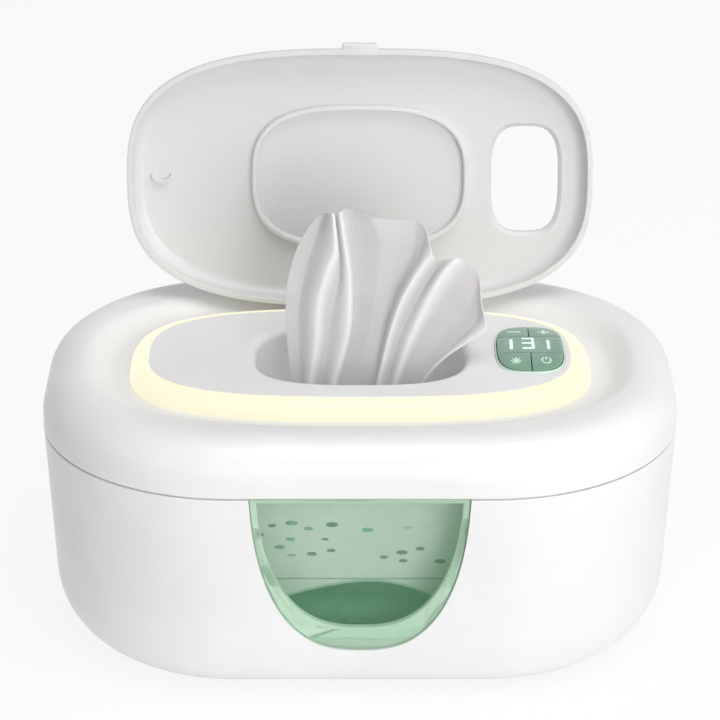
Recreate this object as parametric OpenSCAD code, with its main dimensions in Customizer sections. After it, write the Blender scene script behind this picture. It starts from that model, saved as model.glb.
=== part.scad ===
// Baby wipe warmer: a two-part tub with a hinged top housing, a flip lid, a glowing ring and a window.
// Millimetres. Origin at the middle of the footprint, feet on z = 0, front towards -Y, +Z up.

/* [Body] */
// Width of the body at the seam
body_w = 249; // [236:1:262]
// Depth of the body at the seam
body_d = 181; // [172:1:190]
// Plan corner radius at the seam
corner_r = 75.3; // [70:0.1:79]
// Height of the seam between base and top housing
seam_z = 90.9; // [86:0.1:100]
// Height of the crest above the seam
upper_h = 21.1; // [19:0.1:25]
// Inward draft of the base wall per millimetre of height
draft = 0.056; // [0.03:0.001:0.07]
// Rounding between base wall and floor
bottom_r = 32; // [28:0.5:33]
// Rounding between housing wall and crest
top_r = 14.8; // [12:0.1:16]
// Outer wall thickness
wall = 2.6; // [2.2:0.1:2.9]
// Open line between base and housing
seam_gap = 0.7; // [0.5:0.1:1]
// Height of the tongue that locates the housing on the base
tongue_h = 2.5; // [1.5:0.1:3]

/* [Feet] */
// How far the feet stand out of the floor
foot_h = 1.2; // [0.8:0.1:2]
// Radius of a foot
foot_r = 8; // [5:0.5:8.5]
// How far a foot's middle lies past the corner centre, towards the side
foot_out_x = 12.8; // [8:0.2:16]
// How far a foot's middle lies past the corner centre, towards the front
foot_out_y = 36.8; // [34:0.2:39]

/* [Tub] */
// Space between the tub and the base's widest line at each side
tub_side = 13.5; // [12:0.1:18]
// The same space in front of the tub
tub_front = 10.5; // [10.3:0.1:12]
// The same space behind the tub, which holds the power board
tub_behind = 20.5; // [20:0.1:22]
// How much smaller the tub's corner radius is than the base's
tub_r_less = 15.3; // [12:0.1:22]
// Height of the tub's floor, on top
tub_floor_z = 24; // [22:0.5:27]
// Tub wall thickness
tub_wall = 2; // [1.5:0.1:2.5]
// Rounding at the tub's bottom edge
tub_bottom_r = 12; // [8:0.5:16]

/* [Wipes pack] */
// Space between the pack and the tub's wall at each side
pack_side = 15; // [14:0.5:24]
// Space between the pack and the tub's front wall
pack_front = 9; // [8:0.5:14]
// Space between the pack and the tub's rear wall
pack_behind = 29; // [28:0.5:36]
// Height of the wipes pack
pack_h = 61.5; // [50:0.5:63]

/* [Window] */
// Width of the window at the seam
window_w = 83.2; // [76:0.1:90]
// Height of the window, from the seam down
window_h = 65.6; // [58:0.1:66]
// Width of the window frame at the sides
frame_side = 2.5; // [2:0.1:4]
// Width of the window frame at the foot
frame_foot = 9.3; // [6:0.1:12]
// Width of the window frame at the top
frame_top = 2.2; // [1.5:0.1:3]
// Thickness of the clear pane
pane_t = 1.6; // [1.2:0.1:2]

/* [Deck] */
// Offset of the deck's middle from the body's middle, front to back
deck_y = -1; // [-2:0.1:0]
// Distance from the crest's inner edge to the deck at each side
deck_side = 25.6; // [24:0.1:28]
// The same distance at the front and back
deck_front = 26.4; // [25:0.1:28]
// How far the deck stands above the crest
deck_rise = 0.7; // [0:0.1:1.5]
// Thickness of the deck plate
deck_t = 2.4; // [2:0.1:3]
// Width of the glowing ring, seen from above
ring_w = 7.5; // [6:0.1:8]
// Height of the glowing ring
ring_h = 7.1; // [6:0.1:8]
// Wall of the glowing ring
ring_t = 2; // [1.6:0.1:2.2]
// Width of the crest at each side
crest_side = 15.4; // [14:0.1:17]
// Width of the crest at the front and back
crest_front = 20.6; // [19:0.1:22]
// Run of the dish's sloping wall
dish_run = 12; // [8:0.5:13]
// Thickness of the dish's floor
dish_t = 2.4; // [2:0.1:3]

/* [Dispensing opening] */
// Distance from the deck's edge to the opening at each side
throat_side = 42.5; // [41.5:0.1:48]
// Distance from the deck's edge to the opening at the front and back
throat_front = 14.5; // [13.5:0.1:18]
// Radius of the rolled lip round the throat
lip_r = 4; // [2:0.5:5]
// How far above the pack the throat ends
throat_above = 2.2; // [1:0.1:5]

/* [Control panel] */
// Distance from the deck's right edge to the panel's middle
panel_in = 16.2; // [15.5:0.1:17.5]
// Offset of the panel's middle to the back
panel_y = 0.7; // [0:0.1:1]
// Width of the panel's key field
panel_w = 26; // [24:0.1:27]
// Distance from the deck's edge to the panel at the front and back
panel_front = 22.1; // [22:0.1:24]
// Height of the panel's crown above the deck
panel_rise = 2.5; // [1.8:0.1:3]
// Depth of the display strip between the keys
display_d = 16; // [13:0.1:17]
// Gap between neighbouring keys
key_gap = 0.4; // [0.3:0.05:0.6]
// Travel of a key
key_travel = 0.8; // [0.4:0.1:1]

/* [Lid] */
// How far the closed lid reaches past the deck at each side
lid_side = 11.2; // [10.4:0.1:12]
// How far the closed lid reaches past the deck at the front and back
lid_front = 9.9; // [9.7:0.1:10.1]
// Height of the lid's rim and top together
lid_h = 10; // [9.4:0.1:11]
// Depth that the lid's rim hangs below the deck
lid_hang = 4; // [3:0.1:4.2]
// Thickness of the lid's rim
lid_wall = 2.2; // [1.8:0.1:2.2]
// Thickness of the lid's top
lid_skin = 2.5; // [2:0.1:2.8]
// Outer edge rounding of the lid
lid_round = 7; // [5:0.5:7]
// Angle of the open lid from its closed place
lid_open = 97.7; // [90:0.1:98]
// How far the lid's seal reaches past the opening at each side
seal_side = 3.3; // [2:0.1:5]
// How far the lid's seal reaches past the opening at the front and back
seal_front = 1; // [0:0.1:3]
// Thickness of the seal's ridge
seal_t = 2.2; // [1.6:0.1:3]
// Width of the finger tab
tab_w = 14.4; // [10:0.2:20]
// How far the finger tab stands out
tab_out = 2.6; // [1.5:0.1:3]

/* [Hinges] */
// Radius of the lid's hinge pin
lid_pin_r = 1; // [0.8:0.05:1.1]
// Outer radius of the lid's knuckles
lid_knuckle_r = 2.4; // [2.1:0.1:2.5]
// Width of the lid hinge
lid_hinge_w = 56; // [50:1:58]
// Width of the lid hinge's middle knuckle
lid_hinge_mid = 31; // [26:1:34]
// Radius of the rear hinge pins
rear_pin_r = 1.25; // [1:0.05:1.4]
// Outer radius of the rear knuckles
rear_knuckle_r = 2.6; // [2.3:0.1:2.8]
// Distance of a rear hinge's middle inside the corner centre
rear_hinge_in = 9.2; // [8:0.2:16]
// Width of each rear hinge
rear_hinge_w = 36; // [30:1:40]
// Width of a rear hinge's middle knuckle
rear_hinge_mid = 17.6; // [14:0.2:20]

/* [Electrics] */
// Radius of the power socket's mouth
socket_r = 3; // [2.8:0.1:3.2]
// Distance of the socket's middle inside the corner centre
socket_in = 3.2; // [2:0.2:8]
// Height of the power socket
socket_z = 34; // [30:1:40]
// Number of lamps under the glowing ring
led_count = 24; // [12:1:30]
// Thickness of the circuit boards
board_t = 1.6; // [1:0.1:2]

/* [Wipe] */
// Height of the standing wipe above the deck
wipe_h = 64; // [50:1:66]
// Width of the standing wipe
wipe_w = 78; // [70:1:84]
// Thickness of the folded wipe
wipe_t = 1.2; // [0.8:0.1:1.5]

/* [Hidden] */

$fn = 96;
// Small clearances: a fitted piece, a piece that slides past another, a running pin
fit = 0.3;
slip = 0.25;
running = 0.05;
over = 1;
// Squareness of the oval outlines: 2 is an ellipse, more is squarer
oval_n = 2.9;
dish_n = 2.7;
key_n = 3.2;
window_n = 2.6;
// Points round an oval outline
oval_steps = 60;

half_w = body_w / 2;
half_d = body_d / 2;
run_x = half_w - corner_r;
run_y = half_d - corner_r;
crest_z = seam_z + upper_h;
foot_x = run_x + foot_out_x;
foot_y = run_y + foot_out_y;
rear_hinge_x = run_x - rear_hinge_in;
socket_x = run_x - socket_in;
dish_w = body_w - 2 * crest_side;
dish_d = body_d - 2 * crest_front;
deck_w = dish_w - 2 * deck_side;
deck_d = dish_d - 2 * deck_front;
panel_x = deck_w / 2 - panel_in;
panel_d = deck_d - 2 * panel_front;
throat_w = deck_w - 2 * throat_side;
throat_d = deck_d - 2 * throat_front;
wipe_neck = 0.634 * throat_w;
tub_r = corner_r - tub_r_less;
lid_w = deck_w + 2 * lid_side;
lid_d = deck_d + 2 * lid_front;
seal_w = throat_w + 2 * seal_side;
seal_d = throat_d + 2 * seal_front;
tub_y = (tub_front - tub_behind) / 2;
tub_w = body_w - 2 * tub_side;
tub_d = body_d - tub_front - tub_behind;
pack_w = tub_w - 2 * tub_wall - 2 * pack_side;
pack_d = tub_d - 2 * tub_wall - pack_front - pack_behind;
base_top = seam_z - seam_gap / 2;
housing_foot = seam_z + seam_gap / 2;
floor_top = foot_h + wall;
slant = sqrt(1 + draft * draft);
bottom_cx = corner_r - draft * (seam_z - bottom_r) - bottom_r * slant;

ledge_z = seam_z - 4.3;
ledge_w = 3;
flange_t = 2;
flange_top = ledge_z + flange_t;
tongue_t = 1.2;

cover_w = 2 * (run_x + 30.8);
cover_d = 2 * (foot_y - foot_r - 3);
cover_r = 30;
rib_t = 2;
rib_x = cover_w / 4;
rib_y = 0.22 * cover_d;
rib_end_x = cover_w / 2 - 20;
rib_end_y = cover_d / 2 - 11;
cover_t = 1.2;
cover_lip = 6;

deck_z = crest_z + deck_rise;
deck_under = deck_z - deck_t;
valley_z = deck_z - ring_h;
dish_under = valley_z - dish_t;
well_w = deck_w - 6;
well_d = deck_d - 6;
skirt_t = 1.6;
throat_t = 2;
inner_cover_z = seam_z + 1.1;
inner_cover_t = 2;
inner_cover_top = inner_cover_z + inner_cover_t;
gasket_h = inner_cover_z - flange_top - fit;

lid_top = deck_z - lid_hang + lid_h;
lid_rim_z = deck_z - lid_hang;
lid_inner_z = lid_top - lid_skin;
lid_fillet = 4.5;
lid_dome = 0.8;
lid_axis_y = deck_y + lid_d / 2 + 0.9;
lid_axis_z = lid_rim_z + 0.25;
seal_bottom = deck_z + 0.4;

rear_axis_y = half_d + 0.4;
rear_axis_z = seam_z;

key_bottom = deck_z - 1.7;
display_y = panel_y + 0.9;
crown_r = 160;
board_top = dish_under - 2;
switch_h = 3.5;
switch_w = 5;
plunger_h = 0.6;
plunger_r = 1.7;
stem_r = 1.5;
stem_end = board_top + switch_h + plunger_h + key_travel + 0.1;
boss_r = 3.5;

function fan(a, b, t, e) = [a * sign(cos(t)) * pow(abs(cos(t)), 2 / e),
  b * sign(sin(t)) * pow(abs(sin(t)), 2 / e)];
function oval(a, b, e, steps = oval_steps) = [for (i = [0 : steps - 1]) fan(a, b, 360 * i / steps, e)];
function smooth(t) = t * t * (3 - 2 * t);
function mix(a, b, t) = a + (b - a) * t;

// A flat oval with half sizes a and b
module oval_2d(a, b, e = oval_n) {
  polygon(oval(a, b, e));
}

// A flat rounded rectangle with half sizes a and b and corner radius r
module round_rect(a, b, r) {
  square([2 * (a - r), 2 * b], center = true);
  square([2 * a, 2 * (b - r)], center = true);
  for (sx = [-1, 1], sy = [-1, 1]) {
    translate([sx * (a - r), sy * (b - r)]) circle(r);
  }
}

// A skin through ovals [a, b, z]: capped at both ends, or closed on itself as a ring
module loft(levels, e = oval_n, closed = false, steps = oval_steps) {
  count = len(levels);
  points = [for (s = levels) for (p = oval(s[0], s[1], e, steps)) [p[0], p[1], s[2]]];
  last = closed ? count - 1 : count - 2;
  sides = [for (j = [0 : last], i = [0 : steps - 1])
    let (a = j * steps + i, b = j * steps + (i + 1) % steps,
      c = ((j + 1) % count) * steps + (i + 1) % steps, d = ((j + 1) % count) * steps + i)
    each [[a, c, b], [a, d, c]]];
  caps = closed ? [] : [[for (i = [0 : steps - 1]) i],
    [for (i = [0 : steps - 1]) count * steps - 1 - i]];
  polyhedron(points, concat(sides, caps), convexity = 8);
}

// Sweeps a wall section round a rounded rectangle; the section's x starts at the corner centres
module plan_sweep(rx, ry) {
  for (q = [0 : 3]) {
    translate([(q == 0 || q == 3 ? 1 : -1) * rx, (q < 2 ? 1 : -1) * ry, 0]) {
      rotate([0, 0, 90 * q]) rotate_extrude(angle = 90) children();
    }
  }
  for (s = [0, 180]) {
    rotate([0, 0, s]) translate([rx, ry, 0]) rotate([90, 0, 0]) linear_extrude(2 * ry) children();
    rotate([0, 0, s]) translate([-rx, ry, 0]) rotate([90, 0, 90]) linear_extrude(2 * rx) children();
  }
}

// The base's filled section, set in by t and cut off at floor_z and top_z
module base_section(t, floor_z, top_z) {
  r = bottom_r - t;
  tangent = [bottom_cx + r / slant, bottom_r - r * draft / slant];
  top_x = corner_r - draft * (seam_z - top_z) - t * slant;
  intersection() {
    union() {
      polygon([[0, t], [bottom_cx, t], tangent, [top_x, top_z], [0, top_z]]);
      translate([bottom_cx, bottom_r]) circle(r);
    }
    translate([0, floor_z]) square([corner_r + over, top_z - floor_z]);
  }
}

// The housing's filled section, set in by t
module housing_section(t, foot_z) {
  cx = corner_r - top_r;
  cz = crest_z - top_r;
  polygon([[0, foot_z], [corner_r - t, foot_z], [corner_r - t, cz], [cx, crest_z - t], [0, crest_z - t]]);
  translate([cx, cz]) intersection() {
    circle(top_r - t);
    square(top_r);
  }
}

function window_half(z) = let (t = min(1, (seam_z - z) / window_h))
  (window_w / 2 - 0.06 * (seam_z - z)) * pow(1 - pow(t, window_n), 1 / window_n);

// The window's outline in X and Z: open to the seam, rounded at the foot
module window_2d(grow = 0, side = 0, foot = 0, top = 0) {
  steps = 24;
  full = (window_w / 2 + grow - side) / (window_w / 2);
  tall = window_h + grow - foot;
  right = [for (i = [0 : steps]) let (t = sin(90 * i / steps), z = seam_z - tall * t)
    [full * window_half(seam_z - window_h * t), z]];
  left = [for (i = [steps - 1 : -1 : 0]) [-right[i][0], right[i][1]]];
  intersection() {
    polygon(concat(right, left, [[-right[0][0], seam_z + 4], [right[0][0], seam_z + 4]]));
    translate([-window_w, seam_z - 2 * window_h]) square([2 * window_w, 2 * window_h - top + grow]);
  }
}

module front_cut(depth) {
  translate([0, -half_d + depth, 0]) rotate([90, 0, 0]) linear_extrude(depth + 4) children();
}

// A cylinder along X from x0 to x1 round the point [y, z]
module bar_x(x0, x1, y, z, r) {
  translate([x0, y, z]) rotate([0, 90, 0]) cylinder(r = r, h = x1 - x0);
}

module rear_hinges() {
  for (s = [-1, 1]) translate([s * rear_hinge_x, 0, 0]) children();
}

// A pan-head screw: head under z = 0, shank up
module screw(head_r, head_h, shank_r, length) {
  difference() {
    translate([0, 0, -head_h]) cylinder(r = head_r, h = head_h);
    for (a = [0, 90]) {
      rotate([0, 0, a]) translate([-head_r * 0.6, -0.3, -head_h - over]) cube([head_r * 1.2, 0.6, over + head_h / 2]);
    }
  }
  cylinder(r = shank_r, h = length);
}

module corners(x, y) {
  for (sx = [-1, 1], sy = [-1, 1]) translate([sx * x, sy * y, 0]) children();
}

screw_r = 1.05;
head_h = 0.9;
cover_screw_x = cover_w / 2 - cover_lip / 2;
tub_screw_reach = (corner_r - wall - 4.4) / sqrt(2);
tub_screw_x = run_x + tub_screw_reach;
tub_screw_y = run_y + tub_screw_reach;
housing_boss_x = well_w / 2 - 30.5;
housing_boss_y = well_d / 2 + 4.5;
cover_inset = wall + 1;
flange_inset = wall * slant + draft * (seam_z - flange_top) + fit;

tub_half_w = tub_w / 2;
tub_half_d = tub_d / 2;
tub_under = tub_floor_z - tub_wall;
tub_rear = tub_y + tub_half_d;
pack_y = tub_y + (pack_front - pack_behind) / 2;
pack_z = tub_floor_z + fit;
pack_top = pack_z + pack_h;
fin_w = 3;
fin_half = 0.6 * pack_d / 2;

plate_t = 1.5;
film_t = 0.5;
pad_t = 3;
plate_z = tub_under - plate_t;
film_z = plate_z - film_t;
pad_z = film_z - pad_t;
plate_half_w = 0.63 * tub_half_w;
plate_half_d = 0.56 * tub_half_d;
plate_r = 0.286 * plate_half_d;
sensor_x = 22;
sensor_r = 5.6;

board_y = tub_rear + 3.4;
board_half_w = 31;
board_z = 14;
board_h = 44;
part_high = 6;

shell_white = [0.95, 0.95, 0.94];
inner_white = [0.9, 0.91, 0.9];
pale_green = [0.69, 0.83, 0.71];
key_green = [0.51, 0.66, 0.58];
steel = [0.75, 0.76, 0.78];
board_green = [0.16, 0.36, 0.24];

// Wall and floor of the base, swept round the plan, with its ledge and tongue
module base_walls() {
  inner_x = corner_r - draft * (seam_z - base_top) - wall * slant;
  ledge_x = corner_r - draft * (seam_z - ledge_z) - wall * slant;
  plan_sweep(run_x, run_y) {
    difference() {
      base_section(0, foot_h, base_top);
      base_section(wall, floor_top, base_top + over);
    }
    polygon([[ledge_x + 0.5, ledge_z], [ledge_x - ledge_w, ledge_z], [ledge_x - ledge_w, ledge_z - 1.5],
      [ledge_x + 0.5, ledge_z - 5]]);
    translate([inner_x, base_top - over]) square([tongue_t, over + tongue_h]);
  }
  translate([-run_x, -run_y, foot_h]) cube([2 * run_x, 2 * run_y, wall]);
}

// Upright rails that hold the power board behind the tub
module board_rails() {
  for (s = [-1, 1]) {
    difference() {
      translate([s * (board_half_w + 1.5) - 2.5, board_y - 1.8, 10]) cube([5, 5.6, 50]);
      translate([-board_half_w - fit, board_y - slip / 2, 9]) {
        cube([2 * (board_half_w + fit), board_t + slip, 60]);
      }
    }
  }
}

module base_shell() {
  color(shell_white) difference() {
    union() {
      base_walls();
      corners(tub_screw_x, tub_screw_y) translate([0, 0, ledge_z - 16]) cylinder(r = 3.2, h = 16);
      board_rails();
      rear_hinges() {
        for (s = [-1, 1]) {
          x = (rear_hinge_mid / 2 + 0.3 + rear_hinge_w / 2) / 2;
          half = (rear_hinge_w / 2 - rear_hinge_mid / 2 - 0.3) / 2;
          bar_x(s * x - half, s * x + half, rear_axis_y, rear_axis_z, rear_knuckle_r);
        }
      }
    }
    front_cut(14) window_2d(grow = slip);
    intersection() {
      front_band(wall + 0.03, wall + 8);
      front_cut(14) window_2d(grow = 3 + fit);
    }
    translate([0, 0, foot_h - over]) {
      linear_extrude(over + cover_t + 0.1) round_rect(cover_w / 2 + fit, cover_d / 2 + fit, cover_r + fit);
      linear_extrude(over + wall + over) {
        round_rect(cover_w / 2 - cover_lip, cover_d / 2 - cover_lip, cover_r - cover_lip);
      }
    }
    corners(foot_x, foot_y) translate([0, 0, foot_h - over]) cylinder(r = foot_r + 0.1, h = over + 0.8);
    for (s = [-1, 1]) translate([s * cover_screw_x, 0, 0]) cylinder(r = 1.05, h = 2 * floor_top);
    corners(tub_screw_x, tub_screw_y) translate([0, 0, ledge_z - 9]) cylinder(r = 1.3, h = 12);
    translate([socket_x, half_d + over, socket_z]) rotate([90, 0, 0]) cylinder(r = socket_r + 1.8, h = 12);
    rear_hinges() {
      translate([-rear_hinge_mid / 2 - 0.3, half_d - wall - 3, seam_z - rear_knuckle_r - 0.6]) {
        cube([rear_hinge_mid + 0.6, 12, 8]);
      }
      bar_x(-rear_hinge_w / 2 - over, rear_hinge_w / 2 + over, rear_axis_y, rear_axis_z, rear_pin_r + running / 2);
    }
  }
}

module bottom_cover() {
  color(inner_white) difference() {
    union() {
      translate([0, 0, foot_h]) linear_extrude(cover_t) round_rect(cover_w / 2, cover_d / 2, cover_r);
      for (s = [-1, 1]) {
        translate([s * rib_x - rib_t / 2, -rib_end_y, foot_h + cover_t]) {
          cube([rib_t, 2 * rib_end_y, pad_z - foot_h - cover_t]);
        }
        translate([-rib_end_x, s * rib_y - rib_t / 2, foot_h + cover_t]) {
          cube([2 * rib_end_x, rib_t, pad_z - foot_h - cover_t]);
        }
      }
    }
    for (s = [-1, 1]) translate([s * cover_screw_x, 0, 0]) cylinder(r = 1.3, h = 2 * floor_top);
  }
}

module rubber_feet() {
  color([0.55, 0.56, 0.56]) corners(foot_x, foot_y) cylinder(r = foot_r, h = foot_h + 0.8);
}

module base_screws() {
  color(steel) for (s = [-1, 1]) {
    translate([s * cover_screw_x, 0, foot_h]) screw(2.5 * screw_r, head_h, screw_r, cover_t + wall + 0.7);
  }
}

// The tub hangs by its flange from the base's ledge
module wipe_tub() {
  rx = tub_half_w - tub_r;
  ry = tub_half_d - tub_r;
  r = tub_bottom_r;
  color(inner_white) difference() {
    union() {
      translate([0, tub_y, 0]) {
        plan_sweep(rx, ry) {
          difference() {
            union() {
              polygon([[0, tub_under], [tub_r - r, tub_under], [tub_r, tub_under + r], [tub_r, flange_top],
                [0, flange_top]]);
              translate([tub_r - r, tub_under + r]) circle(r);
            }
            translate([-over, tub_floor_z]) square([tub_r - r + over, 2 * seam_z]);
            translate([-over, tub_under + r]) square([tub_r - tub_wall + over, 2 * seam_z]);
            translate([tub_r - r, tub_under + r]) circle(r - tub_wall);
          }
        }
        translate([-rx, -ry, tub_under]) cube([2 * rx, 2 * ry, tub_wall]);
      }
      translate([0, 0, ledge_z]) linear_extrude(flange_t) difference() {
        round_rect(half_w - flange_inset, half_d - flange_inset, corner_r - flange_inset);
        translate([0, tub_y]) round_rect(tub_half_w - tub_wall, tub_half_d - tub_wall, tub_r - tub_wall);
      }
    }
    front_cut(14) window_2d(grow = 1.5);
    front_cut(half_d - (tub_half_d - tub_y) - 0.5) window_2d(grow = 4.5);
    corners(tub_screw_x, tub_screw_y) translate([0, 0, ledge_z - over]) cylinder(r = 1.6, h = 4);
  }
}

module tub_screws() {
  color(steel) corners(tub_screw_x, tub_screw_y) {
    translate([0, 0, flange_top]) mirror([0, 0, 1]) screw(2.8, 0.2, 1.3, 9);
  }
}

module heater_plate() {
  color([0.8, 0.81, 0.82]) translate([0, tub_y, plate_z]) linear_extrude(plate_t) {
    round_rect(plate_half_w, plate_half_d, plate_r);
  }
}

module heater_film() {
  color([0.78, 0.42, 0.16]) translate([0, tub_y, film_z]) linear_extrude(film_t) {
    round_rect(plate_half_w, plate_half_d, plate_r);
  }
}

module insulation_pad() {
  color([0.86, 0.86, 0.82]) translate([0, tub_y, pad_z]) linear_extrude(pad_t) difference() {
    round_rect(plate_half_w - 4, plate_half_d - 4, plate_r - 2);
    translate([sensor_x, 0]) circle(sensor_r + fit);
    translate([-sensor_x, 0]) square([12 + 2 * fit, 5 + 2 * fit], center = true);
  }
}

module thermostat() {
  color(steel) translate([sensor_x, tub_y, pad_z + 0.1]) {
    cylinder(r = sensor_r, h = pad_t - 0.1);
  }
}

module thermal_fuse() {
  color([0.9, 0.86, 0.7]) translate([-sensor_x - 6, tub_y - 2.5, pad_z + 0.4]) cube([12, 5, pad_t - 0.4]);
}

// A lead through a list of points, as round rods with round joints
module lead(points, r) {
  $fn = 10;
  for (i = [0 : len(points) - 2]) {
    v = points[i + 1] - points[i];
    translate(points[i]) rotate([0, acos(v[2] / norm(v)), atan2(v[1], v[0])]) cylinder(r = r, h = norm(v));
    translate(points[i + 1]) sphere(r);
  }
}

module heater_leads() {
  lead_r = 0.9;
  edge_y = tub_y + plate_half_d;
  color([0.75, 0.2, 0.18]) for (s = [-1, 1]) {
    lead([[s * 5, board_y - lead_r, board_z + 6], [s * 5, board_y - 3, board_z], [s * 5, edge_y + 8, 12.6],
      [s * 5, edge_y - 2, film_z - lead_r]], lead_r);
  }
}

module power_board() {
  color(board_green) translate([-board_half_w, board_y, board_z]) cube([2 * board_half_w, board_t, board_h]);
}

// Parts on the power board: x, z, width, height and length as shares of the board
board_parts = [[-0.77, 0.5, 0.52, 1, 0.36], [0.06, 0.55, 0.39, 0.67, 0.27], [0.65, 0.45, 0.19, 0.83, 0.23]];

module power_board_parts() {
  face = board_y + board_t;
  color([0.3, 0.3, 0.32]) {
    for (p = board_parts) {
      translate([p[0] * board_half_w, face, board_z + p[1] * board_h]) {
        cube([p[2] * board_half_w, p[3] * part_high, p[4] * board_h]);
      }
    }
    for (x = [-0.06, 0.26]) {
      translate([x * board_half_w, face + part_high / 2, board_z + 0.23 * board_h]) {
        cylinder(r = part_high / 2, h = 0.2 * board_h);
      }
    }
  }
}

// The mains adapter's socket: a body behind the wall, a nose through it and a contact pin
module power_socket() {
  inner_y = run_y + corner_r - draft * (seam_z - socket_z) - wall * slant;
  outer_y = inner_y + wall;
  color([0.2, 0.2, 0.21]) translate([socket_x, 0, socket_z]) {
    difference() {
      union() {
        translate([-4.5, inner_y - 10.5, -5.5]) cube([9, 10, 11]);
        translate([0, inner_y - over, 0]) rotate([-90, 0, 0]) cylinder(r = socket_r + 1.6, h = outer_y - inner_y + 0.6);
      }
      translate([0, inner_y - 6, 0]) rotate([-90, 0, 0]) cylinder(r = socket_r, h = 12);
    }
    translate([0, inner_y - 7, 0]) rotate([-90, 0, 0]) cylinder(r = 1, h = 7.5);
  }
}

// A slice of the base's front wall between two depths
module front_band(t0, t1) {
  mirror([0, 1, 0]) translate([-run_x, run_y, 0]) rotate([90, 0, 90]) linear_extrude(2 * run_x) {
    difference() {
      base_section(t0, floor_top, base_top);
      base_section(t1, 0, base_top + over);
    }
  }
}

module window_pane() {
  color([0.72, 0.88, 0.75, 0.45]) intersection() {
    front_band(0, pane_t);
    front_cut(14) window_2d();
  }
}

// The frame behind the pane: a band in the cut-out, and a flange behind the base's wall
module window_frame() {
  color(pale_green) difference() {
    union() {
      intersection() {
        front_band(pane_t, wall + 1.7);
        front_cut(14) window_2d();
      }
      intersection() {
        front_band(wall + 0.1, wall + 1.7);
        front_cut(14) window_2d(grow = 3);
      }
    }
    front_cut(14) window_2d(side = frame_side, foot = frame_foot, top = frame_top);
  }
}

// A flow-wrapped pack: crowned, drawn in at the edges, with a flat sealed fin at each end
module wipes_pack() {
  a = pack_w / 2;
  b = pack_d / 2;
  color([0.8, 0.88, 0.81]) translate([0, pack_y, 0]) {
    loft([[a - 9, b - 7, pack_z], [a - 3, b - 2.5, pack_z + 2], [a - 0.6, b - 0.5, pack_z + 8],
      [a, b, pack_z + pack_h / 2], [a - 0.6, b - 0.5, pack_top - 9], [a - 3, b - 2, pack_top - 3.2],
      [a - 9, b - 6, pack_top - 0.8], [a * 0.55, b * 0.55, pack_top]], e = 7, steps = 48);
    for (s = [-1, 1]) {
      translate([s * (a + fin_w / 2) - fin_w, -fin_half, pack_z + pack_h / 2 - 0.5]) {
        cube([2 * fin_w, 2 * fin_half, 1]);
      }
    }
  }
}

// Top edge of the standing wipe: points [share of wipe_w, share of wipe_h], left to right
wipe_edge = [[-0.36, 0.38], [-0.27, 0.76], [-0.12, 1], [0.04, 0.99], [0.17, 0.93], [0.3, 0.93],
  [0.38, 0.71], [0.51, 0.68], [0.6, 0.42], [0.64, 0.2]];

// A smooth curve through a list of points
function spline(p, t) = let (n = len(p) - 1, i = min(n - 1, floor(t * n)), f = t * n - i,
  a = p[max(0, i - 1)], b = p[i], c = p[i + 1], d = p[min(n, i + 2)])
  0.5 * (2 * b + (c - a) * f + (2 * a - 5 * b + 4 * c - d) * f * f + (3 * b - a - 3 * c + d) * f * f * f);

// A point of the wipe's middle surface: u runs along its edge, v from the pack to the top
function wipe_point(u, v) = let (
  neck = 0.34, top = spline(wipe_edge, u), low_z = pack_top + fit, mid_z = deck_z - 2,
  mid_x = wipe_neck * (u - 0.5), low_x = 0.7 * mid_x,
  rise = v < neck ? v / neck : (v - neck) / (1 - neck),
  x = v < neck ? mix(low_x, mid_x, smooth(rise)) : mix(mid_x, wipe_w * top[0], pow(rise, 1.3)),
  z = v < neck ? mix(low_z, mid_z, rise) : mix(mid_z, deck_z + wipe_h * top[1], rise),
  fold = wipe_w * (0.032 + 0.077 * smooth(v)),
  y = 4 * deck_y + fold * sin(360 * 3.4 * u + 50 * v + 30) + 0.04 * wipe_w * smooth(v) * (1 - 2 * u))
  [x, y, z];

module wipe() {
  nu = 36;
  nv = 12;
  row = nv + 1;
  count = (nu + 1) * row;
  middle = [for (i = [0 : nu], j = [0 : nv]) wipe_point(i / nu, j / nv)];
  points = concat([for (p = middle) p - [0, wipe_t / 2, 0]], [for (p = middle) p + [0, wipe_t / 2, 0]]);
  faces = [for (i = [0 : nu - 1], j = [0 : nv - 1])
    let (a = i * row + j, b = a + row, c = b + 1, d = a + 1)
    each [[a, c, b], [a, d, c], [count + a, count + b, count + c], [count + a, count + c, count + d]]];
  rim = concat([for (i = [0 : nu]) i * row], [for (j = [1 : nv]) nu * row + j],
    [for (i = [nu - 1 : -1 : 0]) i * row + nv], [for (j = [nv - 1 : -1 : 1]) j]);
  edge = [for (k = [0 : len(rim) - 1]) let (a = rim[k], b = rim[(k + 1) % len(rim)])
    each [[a, b, count + b], [a, count + b, count + a]]];
  color([0.93, 0.93, 0.93]) polyhedron(points, concat(faces, edge), convexity = 12);
}

// Levels of the dish inside the crest, grown by g and lowered by t
function dish_levels(g, t, steps) = [for (i = [0 : steps]) let (f = i / steps)
  [dish_w / 2 - dish_run * (1 - f) + g, dish_d / 2 - dish_run * (1 - f) + g,
    valley_z - t + (crest_z - valley_z) * smooth(f)]];

module housing_walls() {
  plan_sweep(run_x, run_y) difference() {
    housing_section(0, housing_foot);
    housing_section(wall, housing_foot - over);
    translate([0, housing_foot - over]) {
      square([corner_r - wall + tongue_t + fit, over + tongue_h + fit]);
    }
  }
  translate([-run_x, -run_y, crest_z - wall]) cube([2 * run_x, 2 * run_y, wall]);
}

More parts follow.
